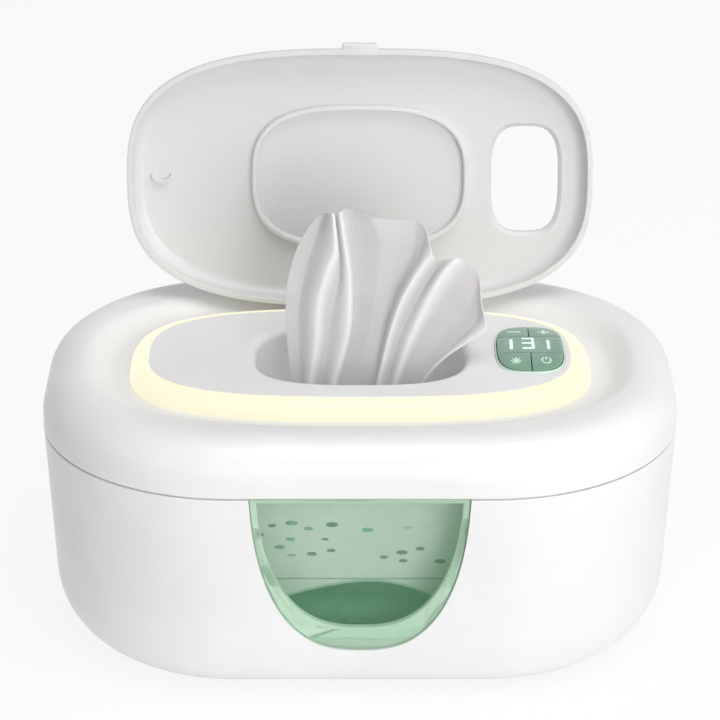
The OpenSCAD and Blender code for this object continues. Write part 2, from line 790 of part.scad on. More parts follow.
// The walls with the rear knuckles and the notches for the base's knuckles
module hinged_walls() {
  difference() {
    union() {
      housing_walls();
      rear_hinges() bar_x(-rear_hinge_mid / 2, rear_hinge_mid / 2, rear_axis_y, rear_axis_z, rear_knuckle_r);
    }
    rear_hinges() {
      for (s = [-1, 1]) {
        x = s * (rear_hinge_mid / 2 + 0.05 + rear_hinge_w / 2 + 0.3) / 2;
        w = rear_hinge_w / 2 - rear_hinge_mid / 2 + 0.25;
        translate([x - w / 2, half_d - wall - 1.5, housing_foot - over]) {
          cube([w, 8, over + rear_knuckle_r + 0.6]);
        }
      }
      bar_x(-rear_hinge_w, rear_hinge_w, rear_axis_y, rear_axis_z, rear_pin_r + running);
    }
  }
}

// Screw bosses under the dish
module housing_bosses() {
  translate([0, deck_y, inner_cover_top]) corners(housing_boss_x, housing_boss_y) difference() {
    cylinder(r = boss_r, h = dish_under - inner_cover_top + over);
    translate([0, 0, -over]) cylinder(r = 1.2, h = 7);
  }
}

// The bracket that carries the lid's pin on the dish floor
module lid_bracket() {
  half = lid_hinge_mid / 2 - 0.3;
  difference() {
    union() {
      translate([-half, lid_axis_y - 1.8, valley_z - 0.5]) cube([2 * half, 3.6, lid_axis_z - valley_z + 0.5]);
      bar_x(-half, half, lid_axis_y, lid_axis_z, lid_knuckle_r);
    }
    bar_x(-lid_hinge_w, lid_hinge_w, lid_axis_y, lid_axis_z, lid_pin_r + running / 2);
  }
}

module top_housing() {
  color(shell_white) {
    difference() {
      union() {
        hinged_walls();
        translate([0, deck_y, 0]) loft(dish_levels(1.2, dish_t, 4), e = dish_n);
        housing_bosses();
      }
      translate([0, deck_y, 0]) {
        loft(concat(dish_levels(0, 0, 6), [[dish_w / 2, dish_d / 2, crest_z + over]]), e = dish_n);
        translate([0, 0, dish_under - over]) linear_extrude(dish_t + 2 * over) oval_2d(well_w / 2, well_d / 2);
      }
    }
    lid_bracket();
  }
}

// The plate that closes the housing from below
module inner_cover() {
  color(inner_white) translate([0, 0, inner_cover_z]) linear_extrude(inner_cover_t) difference() {
    round_rect(half_w - cover_inset, half_d - cover_inset, corner_r - cover_inset);
    translate([0, deck_y]) {
      oval_2d(throat_w / 2 + throat_t + fit / 3, throat_d / 2 + throat_t + fit / 3);
      corners(housing_boss_x, housing_boss_y) circle(1.5);
    }
  }
}

module cover_screws() {
  color(steel) translate([0, deck_y, inner_cover_z]) corners(housing_boss_x, housing_boss_y) {
    screw(3, 0.8, 1.2, 7);
  }
}

module tub_gasket() {
  inset = 7;
  color([0.85, 0.86, 0.85]) translate([0, 0, inner_cover_z - gasket_h]) linear_extrude(gasket_h) {
    difference() {
      round_rect(half_w - inset, half_d - inset, corner_r - inset);
      round_rect(half_w - inset - 3, half_d - inset - 3, corner_r - inset - 3);
    }
  }
}

module throat_seal() {
  color([0.8, 0.81, 0.8]) translate([0, deck_y, inner_cover_top]) linear_extrude(2.5) difference() {
    oval_2d(throat_w / 2 + 4.2, throat_d / 2 + 4.2);
    oval_2d(throat_w / 2 + 2.1, throat_d / 2 + 2.1);
  }
}

// The throat with its rolled lip
module throat() {
  a = throat_w / 2;
  b = throat_d / 2;
  low = pack_top + throat_above;
  roll = [for (f = [0 : 15 : 90])
    [a + lip_r * (1 - sin(f)), b + lip_r * (1 - sin(f)), deck_z - lip_r * (1 - cos(f))]];
  loft(concat([[a + throat_t, b + throat_t, low], [a + throat_t, b + throat_t, deck_z - lip_r], [a + lip_r + 1, b + lip_r + 1, deck_under + 0.2],
    [a + lip_r + 1, b + lip_r + 1, deck_z]], roll, [[a, b, low]]), closed = true);
}

board_posts = [[-17.5, -12], [-17.5, 12], [-6, -panel_d / 2 - 5.4], [-6, panel_d / 2 + 5.4]];

module deck_plate() {
  color(shell_white) {
    translate([0, deck_y, 0]) {
      translate([0, 0, deck_under]) linear_extrude(deck_t) difference() {
        oval_2d(deck_w / 2 - 0.15, deck_d / 2 - 0.15);
        oval_2d(throat_w / 2 + lip_r, throat_d / 2 + lip_r);
        translate([panel_x, panel_y - deck_y]) oval_2d(panel_w / 2 + 1, panel_d / 2 + 1, key_n);
      }
      throat();
    }
    difference() {
      translate([0, deck_y, valley_z]) linear_extrude(deck_under - valley_z + 0.2) difference() {
        oval_2d(well_w / 2 + 0.4 + skirt_t, well_d / 2 + 0.4 + skirt_t);
        oval_2d(well_w / 2 + 0.4, well_d / 2 + 0.4);
      }
      translate([panel_x, panel_y, valley_z - over]) linear_extrude(20) {
        oval_2d(panel_w / 2 + 2.6, panel_d / 2 + 2.6, key_n);
      }
    }
    for (p = board_posts) {
      translate([panel_x + p[0], panel_y + p[1], board_top]) difference() {
        cylinder(r = 2.2, h = deck_under - board_top + 0.2);
        translate([0, 0, -over]) cylinder(r = 0.9, h = 6);
      }
    }
  }
}

// The translucent ring: a quarter-round wall from the deck's edge to the dish floor
module glow_ring() {
  a = deck_w / 2;
  b = deck_d / 2;
  w = ring_w - ring_t;
  h = ring_h - ring_t;
  outer = [for (f = [90 : -15 : 0]) [a + ring_w * sin(f), b + ring_w * sin(f), deck_z - ring_h * (1 - cos(f))]];
  inner = [for (f = [0 : 15 : 90]) [a + w * sin(f), b + w * sin(f), deck_z - ring_t - h * (1 - cos(f))]];
  color([1, 0.98, 0.88]) translate([0, deck_y, 0]) loft(concat(outer, inner), closed = true);
}

module led_board() {
  color([0.92, 0.92, 0.9]) translate([0, deck_y, valley_z]) linear_extrude(1) difference() {
    oval_2d(deck_w / 2 + ring_w - ring_t - 0.4, deck_d / 2 + ring_w - ring_t - 0.4);
    oval_2d(deck_w / 2 - 0.4, deck_d / 2 - 0.4);
  }
}

module leds() {
  run = (ring_w - ring_t) / 2 - 0.4;
  color([1, 0.95, 0.7]) translate([0, deck_y, valley_z + 1]) {
    for (p = oval(deck_w / 2 + run, deck_d / 2 + run, oval_n, led_count)) {
      translate([p[0] - 1.1, p[1] - 1.1, 0]) cube([2.2, 2.2, 0.8]);
    }
  }
}

module panel_2d(grow) {
  oval_2d(panel_w / 2 + grow, panel_d / 2 + grow, key_n);
}

// The thin rim round the keys, with a flange under the deck plate
module panel_bezel() {
  low = deck_under - 1;
  color([0.85, 0.93, 0.87]) translate([panel_x, panel_y, low]) difference() {
    union() {
      linear_extrude(deck_z + 0.5 - low) panel_2d(0.85);
      linear_extrude(1) panel_2d(1.8);
    }
    translate([0, 0, -over]) linear_extrude(2 * deck_t + 4) panel_2d(slip);
  }
}

// The panel's crown: a solid of revolution whose top follows a wide arc
module crown() {
  reach = norm([panel_w, panel_d]) / 2 + 2;
  top = deck_z + panel_rise;
  arc = [for (i = [0 : 10]) let (r = reach * i / 10) [r, top - crown_r + sqrt(crown_r * crown_r - r * r)]];
  rotate_extrude() polygon(concat([[0, valley_z], [reach, valley_z]], [for (i = [10 : -1 : 0]) arc[i]]));
}

// A crowned block of the panel, between x0 and x1, y0 and y1 from the panel's middle
module crowned(x0, x1, y0, y1) {
  translate([panel_x, panel_y, 0]) intersection() {
    translate([0, 0, key_bottom]) linear_extrude(2 * panel_rise + 2) intersection() {
      panel_2d(0);
      translate([x0, y0]) square([x1 - x0, y1 - y0]);
    }
    crown();
  }
}

strip_low = display_y - panel_y - display_d / 2;
strip_high = display_y - panel_y + display_d / 2;
key_x = panel_w / 4 - 0.8;
key_low_y = panel_y + (strip_low - panel_d / 2) / 2;
key_high_y = panel_y + (strip_high + panel_d / 2) / 2;

// A key: right is -1 or 1, back is -1 or 1
module key(right, back) {
  reach = panel_d;
  x0 = right > 0 ? key_gap / 2 : -reach;
  y0 = back > 0 ? strip_high + key_gap / 2 : -reach;
  x1 = right > 0 ? reach : -key_gap / 2;
  y1 = back > 0 ? reach : strip_low - key_gap / 2;
  color(key_green) {
    crowned(x0, x1, y0, y1);
    translate([panel_x + right * key_x, back > 0 ? key_high_y : key_low_y, stem_end]) {
      cylinder(r = stem_r, h = key_bottom - stem_end + 0.5);
    }
  }
}

module key_minus() {
  key(-1, 1);
}

module key_plus() {
  key(1, 1);
}

module key_light() {
  key(-1, -1);
}

module key_power() {
  key(1, -1);
}

module display_window() {
  color(key_green) crowned(-panel_w, panel_w, strip_low + key_gap / 2, strip_high - key_gap / 2);
}

module display_module() {
  low = board_top;
  color([0.25, 0.27, 0.28]) translate([panel_x - 10, display_y - 6, low]) cube([20, 12, key_bottom - fit - low]);
}

module control_board() {
  color(board_green) translate([panel_x - 4.3, panel_y, board_top - board_t]) linear_extrude(board_t) {
    difference() {
      round_rect(16.8, panel_d / 2 + 9, 3);
      for (p = board_posts) translate([p[0] + 4.3, p[1]]) circle(1.1);
    }
  }
}

module board_screws() {
  color(steel) for (p = board_posts) {
    translate([panel_x + p[0], panel_y + p[1], board_top - board_t]) screw(2, 0.8, 0.9, 5.5);
  }
}

module key_switches() {
  color([0.22, 0.22, 0.23]) for (right = [-1, 1], y = [key_low_y, key_high_y]) {
    translate([panel_x + right * key_x, y, board_top]) {
      translate([-switch_w / 2, -switch_w / 2, 0]) cube([switch_w, switch_w, switch_h]);
      cylinder(r = plunger_r, h = switch_h + plunger_h);
    }
  }
}

// Places what is modelled on the closed lid at the lid's open rest
module opened() {
  translate([0, lid_axis_y, lid_axis_z]) rotate([-lid_open, 0, 0]) translate([0, -lid_axis_y, -lid_axis_z]) {
    children();
  }
}

// The lid's skin, from the flat inside round the rim to the domed top
module lid_form() {
  a = lid_w / 2;
  b = lid_d / 2;
  r = lid_fillet;
  fillet = [for (f = [0 : 30 : 90]) let (d = lid_wall + r * (1 - sin(f)))
    [a - d, b - d, lid_inner_z - r * (1 - cos(f))]];
  round = [for (f = [0 : 15 : 90]) let (d = lid_round * (1 - cos(f)))
    [a - d, b - d, lid_top - lid_round * (1 - sin(f))]];
  loft(concat(fillet, [[a - lid_wall, b - lid_wall, lid_rim_z], [a, b, lid_rim_z]], round,
    [[a * 0.6, b * 0.6, lid_top + lid_dome * 0.7], [a * 0.25, b * 0.25, lid_top + lid_dome]]));
}

// A small moulded crescent on the lid's inside
module lid_lug() {
  translate([13.7 - lid_w / 2, deck_y + 1.5, lid_inner_z - 2]) linear_extrude(2.2) intersection() {
    difference() {
      translate([0, -3.2]) circle(4.8);
      translate([0, -4.6]) circle(4.8);
    }
    translate([-3.6, -2]) square([7.2, 6]);
  }
}

module lid_shell() {
  mid = lid_hinge_mid / 2 + 0.3;
  color(shell_white) opened() difference() {
    union() {
      translate([0, deck_y, 0]) lid_form();
      for (s = [-1, 1]) {
        bar_x(s > 0 ? mid : -lid_hinge_w / 2, s > 0 ? lid_hinge_w / 2 : -mid, lid_axis_y, lid_axis_z, lid_knuckle_r);
      }
      translate([0, deck_y - lid_d / 2, lid_rim_z]) linear_extrude(2.6) round_rect(tab_w / 2, tab_out, 1.2);
      lid_lug();
    }
    translate([panel_x, panel_y, lid_inner_z]) {
      linear_extrude(4 * lid_skin, center = true) panel_2d(0.7);
      loft([[panel_w / 2 + 3.4, panel_d / 2 + 3.4, -over], [panel_w / 2 + 0.6, panel_d / 2 + 0.6, 1.4]], e = key_n);
    }
    bar_x(-mid, mid, lid_axis_y, lid_axis_z, lid_knuckle_r + 0.6);
    bar_x(-lid_hinge_w, lid_hinge_w, lid_axis_y, lid_axis_z, lid_pin_r + running);
  }
}

module lid_seal() {
  color([0.9, 0.9, 0.89]) opened() translate([0, deck_y + 0.5, seal_bottom]) {
    linear_extrude(lid_inner_z - seal_bottom) difference() {
      oval_2d(seal_w / 2, seal_d / 2);
      oval_2d(seal_w / 2 - seal_t, seal_d / 2 - seal_t);
    }
  }
}

module lid_hinge_pin() {
  color(steel) bar_x(-lid_hinge_w / 2 + 0.5, lid_hinge_w / 2 - 0.5, lid_axis_y, lid_axis_z, lid_pin_r);
}

module rear_hinge_pins() {
  color(steel) rear_hinges() {
    bar_x(-rear_hinge_w / 2 + 0.5, rear_hinge_w / 2 - 0.5, rear_axis_y, rear_axis_z, rear_pin_r);
  }
}

base_shell();
bottom_cover();
rubber_feet();
base_screws();
wipe_tub();
tub_screws();
heater_plate();
heater_film();
insulation_pad();
thermostat();
thermal_fuse();
heater_leads();
power_board();
power_board_parts();
power_socket();
window_pane();
window_frame();
wipes_pack();
wipe();
top_housing();
inner_cover();
cover_screws();
tub_gasket();
throat_seal();
deck_plate();
glow_ring();
led_board();
leds();
panel_bezel();
display_window();
display_module();
control_board();
board_screws();
key_switches();
key_minus();
key_plus();
key_light();
key_power();
lid_shell();
lid_seal();
lid_hinge_pin();
rear_hinge_pins();
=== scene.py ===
"""Baby wipe warmer with its lid standing open, dressed piece by piece over its solids."""
import math

import bmesh
import bpy
from mathutils import Matrix, Vector


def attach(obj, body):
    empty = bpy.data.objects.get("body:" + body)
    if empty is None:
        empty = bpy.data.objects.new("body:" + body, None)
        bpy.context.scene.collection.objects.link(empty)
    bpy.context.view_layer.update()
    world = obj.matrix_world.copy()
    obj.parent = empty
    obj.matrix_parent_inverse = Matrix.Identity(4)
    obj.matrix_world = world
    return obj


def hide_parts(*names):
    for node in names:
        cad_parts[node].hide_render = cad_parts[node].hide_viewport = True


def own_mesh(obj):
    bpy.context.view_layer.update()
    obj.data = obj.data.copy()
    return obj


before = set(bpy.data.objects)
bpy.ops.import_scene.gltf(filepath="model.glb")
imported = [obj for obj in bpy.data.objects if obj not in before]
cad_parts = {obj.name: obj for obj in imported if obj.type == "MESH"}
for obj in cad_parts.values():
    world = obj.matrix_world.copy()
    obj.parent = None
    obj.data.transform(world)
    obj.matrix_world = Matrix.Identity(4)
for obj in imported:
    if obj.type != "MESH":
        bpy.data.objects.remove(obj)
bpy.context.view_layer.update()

bl_info = {
    "name": "Baby Wipe Warmer",
    "version": (1, 0, 0),
    "blender": (4, 5, 0),
    "location": "3D View > Sidebar > Warmer",
    "description": "Models a baby wipe warmer: tub, hinged top, flip lid, glowing ring and window",
    "category": "Add Mesh",
}

MM = 0.001
DECK_OVAL = 2.9
DISH_OVAL = 2.7
PANEL_OVAL = 3.2
SEAM_GAP = 0.35  # half of the gap at the seam, and the chamfer on both sides of it
HINGE_PAST_WALL = 0.4
KNUCKLE_R = 2.6
PIN_HALF = 19


# Sizes and colours that a user would change

def length(name, value, text):
    return bpy.props.FloatProperty(name=name, description=text, default=value, min=0.0, unit="LENGTH", precision=5)


def tint(name, value, text):
    return bpy.props.FloatVectorProperty(name=name, description=text, default=value, min=0.0, max=1.0,
                                         size=3, subtype="COLOR_GAMMA")


class WarmerSizes(bpy.types.PropertyGroup):
    """Sizes of the warmer"""
    body_width: length("Body width", 0.249, "Width of the body at the seam")
    body_depth: length("Body depth", 0.181, "Depth of the body at the seam")
    corner: length("Corner radius", 0.0753, "Plan radius of the body's corners at the seam")
    seam: length("Seam height", 0.0909, "Height of the seam between base and top housing")
    crest: length("Crest height", 0.112, "Height of the top housing's crest")
    floor_round: length("Floor rounding", 0.032, "Rounding between the base wall and the floor")
    crest_round: length("Crest rounding", 0.0148, "Rounding between the housing wall and the crest")
    wall: length("Wall", 0.0026, "Thickness of the outer wall")
    dish_width: length("Dish width", 0.2182, "Width of the dish inside the crest")
    dish_depth: length("Dish depth", 0.1398, "Depth of the dish inside the crest")
    deck_width: length("Deck width", 0.167, "Width of the deck")
    deck_depth: length("Deck depth", 0.087, "Depth of the deck")
    deck_height: length("Deck height", 0.1127, "Height of the deck's face")
    ring_width: length("Ring width", 0.0075, "Width of the glowing ring")
    ring_height: length("Ring height", 0.0071, "Height of the glowing ring")
    throat_width: length("Opening width", 0.082, "Width of the dispensing opening")
    throat_depth: length("Opening depth", 0.058, "Depth of the dispensing opening")
    throat_foot: length("Opening foot", 0.088, "Height at which the opening's wall ends, over the pack")
    lip: length("Opening lip", 0.004, "Rolled edge of the dispensing opening")
    lid_width: length("Lid width", 0.1894, "Width of the lid")
    lid_depth: length("Lid depth", 0.1068, "Depth of the lid")
    lid_height: length("Lid height", 0.010, "Height of the lid's side")
    lid_open: bpy.props.FloatProperty(name="Lid angle", description="How far the lid stands open at rest",
                                      default=math.radians(97.7), subtype="ANGLE")
    panel_width: length("Panel width", 0.026, "Width of the control panel")
    panel_depth: length("Panel depth", 0.0428, "Depth of the control panel")
    window_width: length("Window width", 0.0832, "Width of the window at the seam")
    window_height: length("Window height", 0.0656, "Height of the window")
    wipe_thickness: length("Wipe thickness", 0.0006, "Thickness of the wipe's cloth")


class WarmerColours(bpy.types.PropertyGroup):
    """Colours of the warmer"""
    shell: tint("Shell", (0.945, 0.945, 0.945), "Outer shells")
    # The lid's white is darker than the shell's: painted shade for the lid's inside, which faces away from the
    # lamps
    lid: tint("Lid", (0.865, 0.865, 0.862), "Inside of the lid")
    inside: tint("Inside", (0.88, 0.885, 0.875), "Inner mouldings")
    glow: tint("Glow", (1.0, 0.98, 0.875), "Light of the ring")
    window: tint("Window", (0.50, 0.76, 0.57), "Clear green pane")
    rim: tint("Window frame", (0.86, 0.95, 0.87), "Frame behind the pane")
    key: tint("Keys", (0.46, 0.625, 0.535), "Keys and display")
    bezel: tint("Bezel", (0.87, 0.95, 0.89), "Thin rim round the keys")
    mark: tint("Marks", (0.86, 0.98, 0.90), "Printed marks and lit digits")
    film: tint("Pack", (0.93, 0.955, 0.93), "Upper field of the pack's print")
    film_deep: tint("Pack, lower", (0.25, 0.42, 0.29), "Lower field of the pack's print")
    film_accent: tint("Pack, accent", (0.47, 0.67, 0.60), "Small motifs of the pack's print")
    wipe: tint("Wipe", (0.82, 0.82, 0.82), "Cloth of the wipe")


def size(name):
    """A size from the panel, in millimetres"""
    return getattr(bpy.context.scene.warmer_sizes, name) / MM


def colour(name):
    """A colour from the panel, as the shaders take it"""
    return linear(getattr(bpy.context.scene.warmer_colours, name))


def linear(rgb):
    """A colour as it looks, turned to the values that light works with"""
    return tuple(v / 12.92 if v <= 0.04045 else ((v + 0.055) / 1.055) ** 2.4 for v in rgb) + (1.0,)


# Modelling by hand, in code

def begin():
    """Object mode with nothing selected"""
    if bpy.context.object and bpy.context.object.mode != "OBJECT":
        bpy.ops.object.mode_set(mode="OBJECT")
    bpy.ops.object.select_all(action="DESELECT")


def named(name):
    """The object just made, with its name"""
    piece = bpy.context.object
    piece.name = piece.data.name = name
    return piece


def take(piece):
    """Make a piece the only one selected"""
    begin()
    piece.select_set(True)
    bpy.context.view_layer.objects.active = piece
    return piece


def edit(piece):
    """Open a piece in edit mode with nothing selected"""
    take(piece)
    bpy.ops.object.mode_set(mode="EDIT")
    bpy.ops.mesh.select_mode(type="VERT")
    bpy.ops.mesh.select_all(action="DESELECT")


def pick(kind, test):
    """Select the verts, edges or faces that pass a test, in edit mode"""
    mesh = bpy.context.edit_object.data
    bpy.ops.mesh.select_mode(type={"verts": "VERT", "edges": "EDGE", "faces": "FACE"}[kind])
    bpy.ops.mesh.select_all(action="DESELECT")
    cells = bmesh.from_edit_mesh(mesh)
    found = [c for c in getattr(cells, kind) if test(c)]
    if not found:
        raise RuntimeError(f"nothing to select on {bpy.context.edit_object.name}")
    for c in found:
        c.select_set(True)
    cells.select_flush_mode()
    bmesh.update_edit_mesh(mesh)


def oval(a, b, power, steps=96):
    """Points of a superellipse with these half sizes; a higher power is squarer"""
    points = []
    for i in range(steps):
        t = 2 * math.pi * i / steps
        c, s = math.cos(t), math.sin(t)
        points.append((a * math.copysign(abs(c) ** (2 / power), c), b * math.copysign(abs(s) ** (2 / power), s)))
    return points


def arc(x, z, r, low, high, steps):
    """Points along a circle's arc, from one angle to another"""
    return [(x + r * math.cos(t), z + r * math.sin(t))
            for t in (low + (high - low) * i / steps for i in range(steps + 1))]


def round_rect(a, b, r, steps=10):
    """Points of a rectangle with these half sizes and round corners"""
    points = []
    for i, (sx, sy) in enumerate(((1, 1), (-1, 1), (-1, -1), (1, -1))):
        for j in range(steps + 1):
            t = math.pi / 2 * (i + j / steps)
            points.append((sx * (a - r) + r * math.cos(t), sy * (b - r) + r * math.sin(t)))
    return points


def outline(name, points, closed=True):
    """A wire through points in millimetres, started from a circle and left selected in edit mode"""
    begin()
    bpy.ops.mesh.primitive_circle_add(vertices=len(points), radius=0.01, fill_type="NOTHING")
    piece = named(name)
    for v, p in zip(piece.data.vertices, points):
        v.co = Vector(p) * MM
    edit(piece)
    if not closed:
        last = {0, len(points) - 1}
        pick("edges", lambda e: {v.index for v in e.verts} == last)
        bpy.ops.mesh.delete(type="EDGE")
    bpy.ops.mesh.select_mode(type="VERT")
    bpy.ops.mesh.select_all(action="SELECT")
    return piece


def climb(levels, middle):
    """Extrude the selected loop through levels (half width, half depth, height), first is where it is"""
    for (a, b, z), (c, d, w) in zip(levels, levels[1:]):
        bpy.ops.mesh.extrude_region_move(TRANSFORM_OT_translate={"value": (0, 0, (w - z) * MM)})
        if abs(c - a) + abs(d - b) > 1e-6:
            bpy.ops.transform.resize(value=(c / a, d / b, 1),
                                     center_override=(middle[0] * MM, middle[1] * MM, w * MM))


def loft(name, levels, middle, power, steps=96, ends="open"):
    """A skin through ovals; ends: open, capped, or ring where the last meets the first"""
    a, b, z = levels[0]
    points = [(middle[0] + x, middle[1] + y, z) for x, y in oval(a, b, power, steps)]
    piece = outline(name, points)
    if ends == "capped":
        bpy.ops.mesh.edge_face_add()
    if ends == "ring":
        levels = levels + levels[:1]
    climb(levels, middle)
    if ends == "capped":
        bpy.ops.mesh.edge_face_add()
    tidy_faces(piece)
    return piece


def prism(name, points, axis, low, high):
    """A flat outline extruded along an axis, for cutting and for small pieces"""
    if axis == "z":
        placed, run = [(x, y, low) for x, y in points], (0, 0, (high - low) * MM)
    else:
        placed, run = [(x, low, z) for x, z in points], (0, (high - low) * MM, 0)
    piece = outline(name, placed)
    bpy.ops.mesh.edge_face_add()
    bpy.ops.mesh.extrude_region_move(TRANSFORM_OT_translate={"value": run})
    tidy_faces(piece)
    return piece


def sweep(name, profile, run_x, run_y, steps=28):
    """A wall section swept round a rounded rectangle; the section's x starts at the corner centres"""
    piece = outline(name, [(run_x + r, run_y, z) for r, z in profile], closed=False)
    corners = ((run_x, run_y, -2 * run_x, 0), (-run_x, run_y, 0, -2 * run_y),
               (-run_x, -run_y, 2 * run_x, 0), (run_x, -run_y, 0, 2 * run_y))
    for cx, cy, dx, dy in corners:
        bpy.ops.mesh.spin(steps=steps, angle=-math.pi / 2, center=(cx * MM, cy * MM, 0), axis=(0, 0, 1))
        bpy.ops.mesh.extrude_region_move(TRANSFORM_OT_translate={"value": (dx * MM, dy * MM, 0)})
    tidy_faces(piece)
    return piece


def tidy_faces(piece):
    """Merge what coincides and turn the faces outwards"""
    edit(piece)
    bpy.ops.mesh.select_all(action="SELECT")
    bpy.ops.mesh.remove_doubles(threshold=2e-6)
    bpy.ops.mesh.dissolve_degenerate(threshold=1e-6)
    bpy.ops.mesh.select_all(action="SELECT")
    bpy.ops.mesh.normals_make_consistent(inside=False)
    begin()


def pick_rim(piece, height):
    """Select the open edges that lie at one height"""
    edit(piece)
    pick("edges", lambda e: e.is_boundary and all(abs(v.co.z / MM - height) < 0.02 for v in e.verts))


def close_flat(piece, height):
    """Fill an open loop that lies at one height"""
    pick_rim(piece, height)
    bpy.ops.mesh.edge_face_add()
    begin()


def bridge_flat(piece, height):
    """Bridge the two open loops that lie at one height"""
    pick_rim(piece, height)
    bpy.ops.mesh.bridge_edge_loops()
    begin()


def bar(name, x0, x1, y, z, r, bevel=0.3, sides=40):
    """A round bar along X"""
    begin()
    middle = ((x0 + x1) / 2 * MM, y * MM, z * MM)
    bpy.ops.mesh.primitive_cylinder_add(vertices=sides, radius=r * MM, depth=(x1 - x0) * MM, location=middle,
                                        rotation=(0, math.pi / 2, 0))
    piece = named(name)
    bpy.ops.object.transform_apply(location=True, rotation=True, scale=True)
    soften(piece, bevel)
    return piece


def block(name, low, high, bevel=0.0):
    """A box between two corners in millimetres, its edges bevelled"""
    begin()
    bpy.ops.mesh.primitive_cube_add(size=1, location=[(a + b) / 2 * MM for a, b in zip(low, high)],
                                    scale=[(b - a) * MM for a, b in zip(low, high)])
    piece = named(name)
    bpy.ops.object.transform_apply(location=True, rotation=True, scale=True)
    if bevel:
        soften(piece, bevel)
    return piece


def modify(piece, kind, **settings):
    """Put one modifier on a piece and apply it"""
    take(piece)
    made = piece.modifiers.new(kind.title(), kind)
    for key, value in settings.items():
        setattr(made, key, value)
    bpy.ops.object.modifier_apply(modifier=made.name)


def soften(piece, width, segments=3, angle=35):
    """Bevel the sharp edges"""
    modify(piece, "BEVEL", width=width * MM, segments=segments, limit_method="ANGLE",
           angle_limit=math.radians(angle), harden_normals=False)


def combine(piece, others, operation):
    """Cut others out of a piece, or weld them to it"""
    for other in others:
        modify(piece, "BOOLEAN", operation=operation, solver="EXACT", object=other)
        bpy.data.objects.remove(other)


def merged_copy(node, name, bevel=0.0):
    """A copy of a solid's mesh with its triangles joined, to be finished"""
    piece = bpy.data.objects.new(name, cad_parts[node].data.copy())
    piece.data.name = name
    piece.data.materials.clear()
    bpy.context.scene.collection.objects.link(piece)
    edit(piece)
    bpy.ops.mesh.select_all(action="SELECT")
    bpy.ops.mesh.remove_doubles(threshold=5e-6)
    bpy.ops.mesh.dissolve_limited(angle_limit=math.radians(1.0))
    bpy.ops.mesh.normals_make_consistent(inside=False)
    begin()
    if bevel:
        soften(piece, bevel)
    return piece


def finish_piece(piece, body, slot, finish, *nodes, angle=35):
    """Smooth a piece, dress it, and let it ride"""
    take(piece)
    bpy.ops.object.shade_smooth_by_angle(angle=math.radians(angle))
    piece.data.materials.clear()
    piece.data.materials.append(finish)
    begin()
    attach(piece, body)
    if nodes:
        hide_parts(*nodes)


# Finishes

def feed(tree, socket, value):
    """Link an input to another node's socket, or set its value"""
    if isinstance(value, bpy.types.NodeSocket):
        tree.links.new(value, socket)
    else:
        socket.default_value = value


def node(tree, kind, **values):
    """A node with its settings and its inputs, each a value or another node's socket"""
    made = tree.nodes.new("ShaderNode" + kind)
    for key, value in values.items():
        if hasattr(made, key):
            setattr(made, key, value)
        else:
            feed(tree, made.inputs[key.replace("_", " ")], value)
    return made


def mix_colour(tree, factor, first, second):
    made = node(tree, "Mix", data_type="RGBA")
    for i, value in ((0, factor), (6, first), (7, second)):
        feed(tree, made.inputs[i], value)
    return made.outputs[2]


def calc(tree, operation, *values, clamp=False):
    made = node(tree, "Math", operation=operation, use_clamp=clamp)
    for socket, value in zip(made.inputs, values):
        feed(tree, socket, value)
    return made.outputs[0]


def times(tree, first, second):
    return calc(tree, "MULTIPLY", first, second)


def plus(tree, first, second, clamp=False):
    return calc(tree, "ADD", first, second, clamp=clamp)


def spread(tree, value, low, high, to_low=0.0, to_high=1.0):
    """Map a value smoothly from one range to another"""
    made = node(tree, "MapRange", interpolation_type="SMOOTHSTEP")
    for i, v in enumerate((value, low, high, to_low, to_high)):
        feed(tree, made.inputs[i], v)
    return made.outputs[0]


def mapped(tree, place, turn=(0, 0, 0), scale=(1, 1, 1)):
    return node(tree, "Mapping", Vector=place, Rotation=turn, Scale=scale).outputs["Vector"]


def noise(tree, place, scale, detail=2.0):
    return node(tree, "TexNoise", Vector=place, Scale=scale, Detail=detail).outputs["Fac"]


def bump(tree, height, strength, distance):
    return node(tree, "Bump", Height=height, Strength=strength, Distance=distance).outputs["Normal"]


def group_of(name, coordinates="Object", **inputs):
    """A node group, with the sockets of its inputs and the coordinates it works in"""
    group = bpy.data.node_groups.new(name, "ShaderNodeTree")
    for label, value in inputs.items():
        kind = "NodeSocketColor" if isinstance(value, tuple) else "NodeSocketFloat"
        socket = group.interface.new_socket(name=label.replace("_", " "), in_out="INPUT", socket_type=kind)
        socket.default_value = value
    place = group.nodes.new("ShaderNodeTexCoord").outputs[coordinates]
    return group, group.nodes.new("NodeGroupInput").outputs, place


def deliver(group, colour, roughness, normal):
    """Let a node group give what a surface needs"""
    results = (("Colour", "Color", colour), ("Roughness", "Float", roughness), ("Normal", "Vector", normal))
    for label, kind, value in results:
        group.interface.new_socket(name=label, in_out="OUTPUT", socket_type="NodeSocket" + kind)
    end = group.nodes.new("NodeGroupOutput")
    for label, kind, value in results:
        group.links.new(value, end.inputs[label])
    return group


def moulded_surface():
    """Moulded plastic: a fine spark-eroded grain, slight sink and tone changes, uneven gloss"""
    group, given, place = group_of("Moulded surface", Colour=(0.8, 0.8, 0.8, 1), Shade=(0.7, 0.7, 0.7, 1),
                                   Roughness=0.3, Gloss_change=0.08, Grain_per_metre=2200.0, Grain_depth=0.3)
    tone = spread(group, noise(group, place, 14.0, 3.0), 0.35, 0.65)
    patch = noise(group, place, 90.0, 2.0)
    swing = times(group, calc(group, "SUBTRACT", patch, 0.5), given["Gloss change"])
    grain = times(group, noise(group, place, given["Grain per metre"], 1.0), given["Grain depth"])
    return deliver(group, mix_colour(group, tone, given["Colour"], given["Shade"]),
                   plus(group, given["Roughness"], swing, clamp=True), bump(group, grain, 0.35, 0.00006))


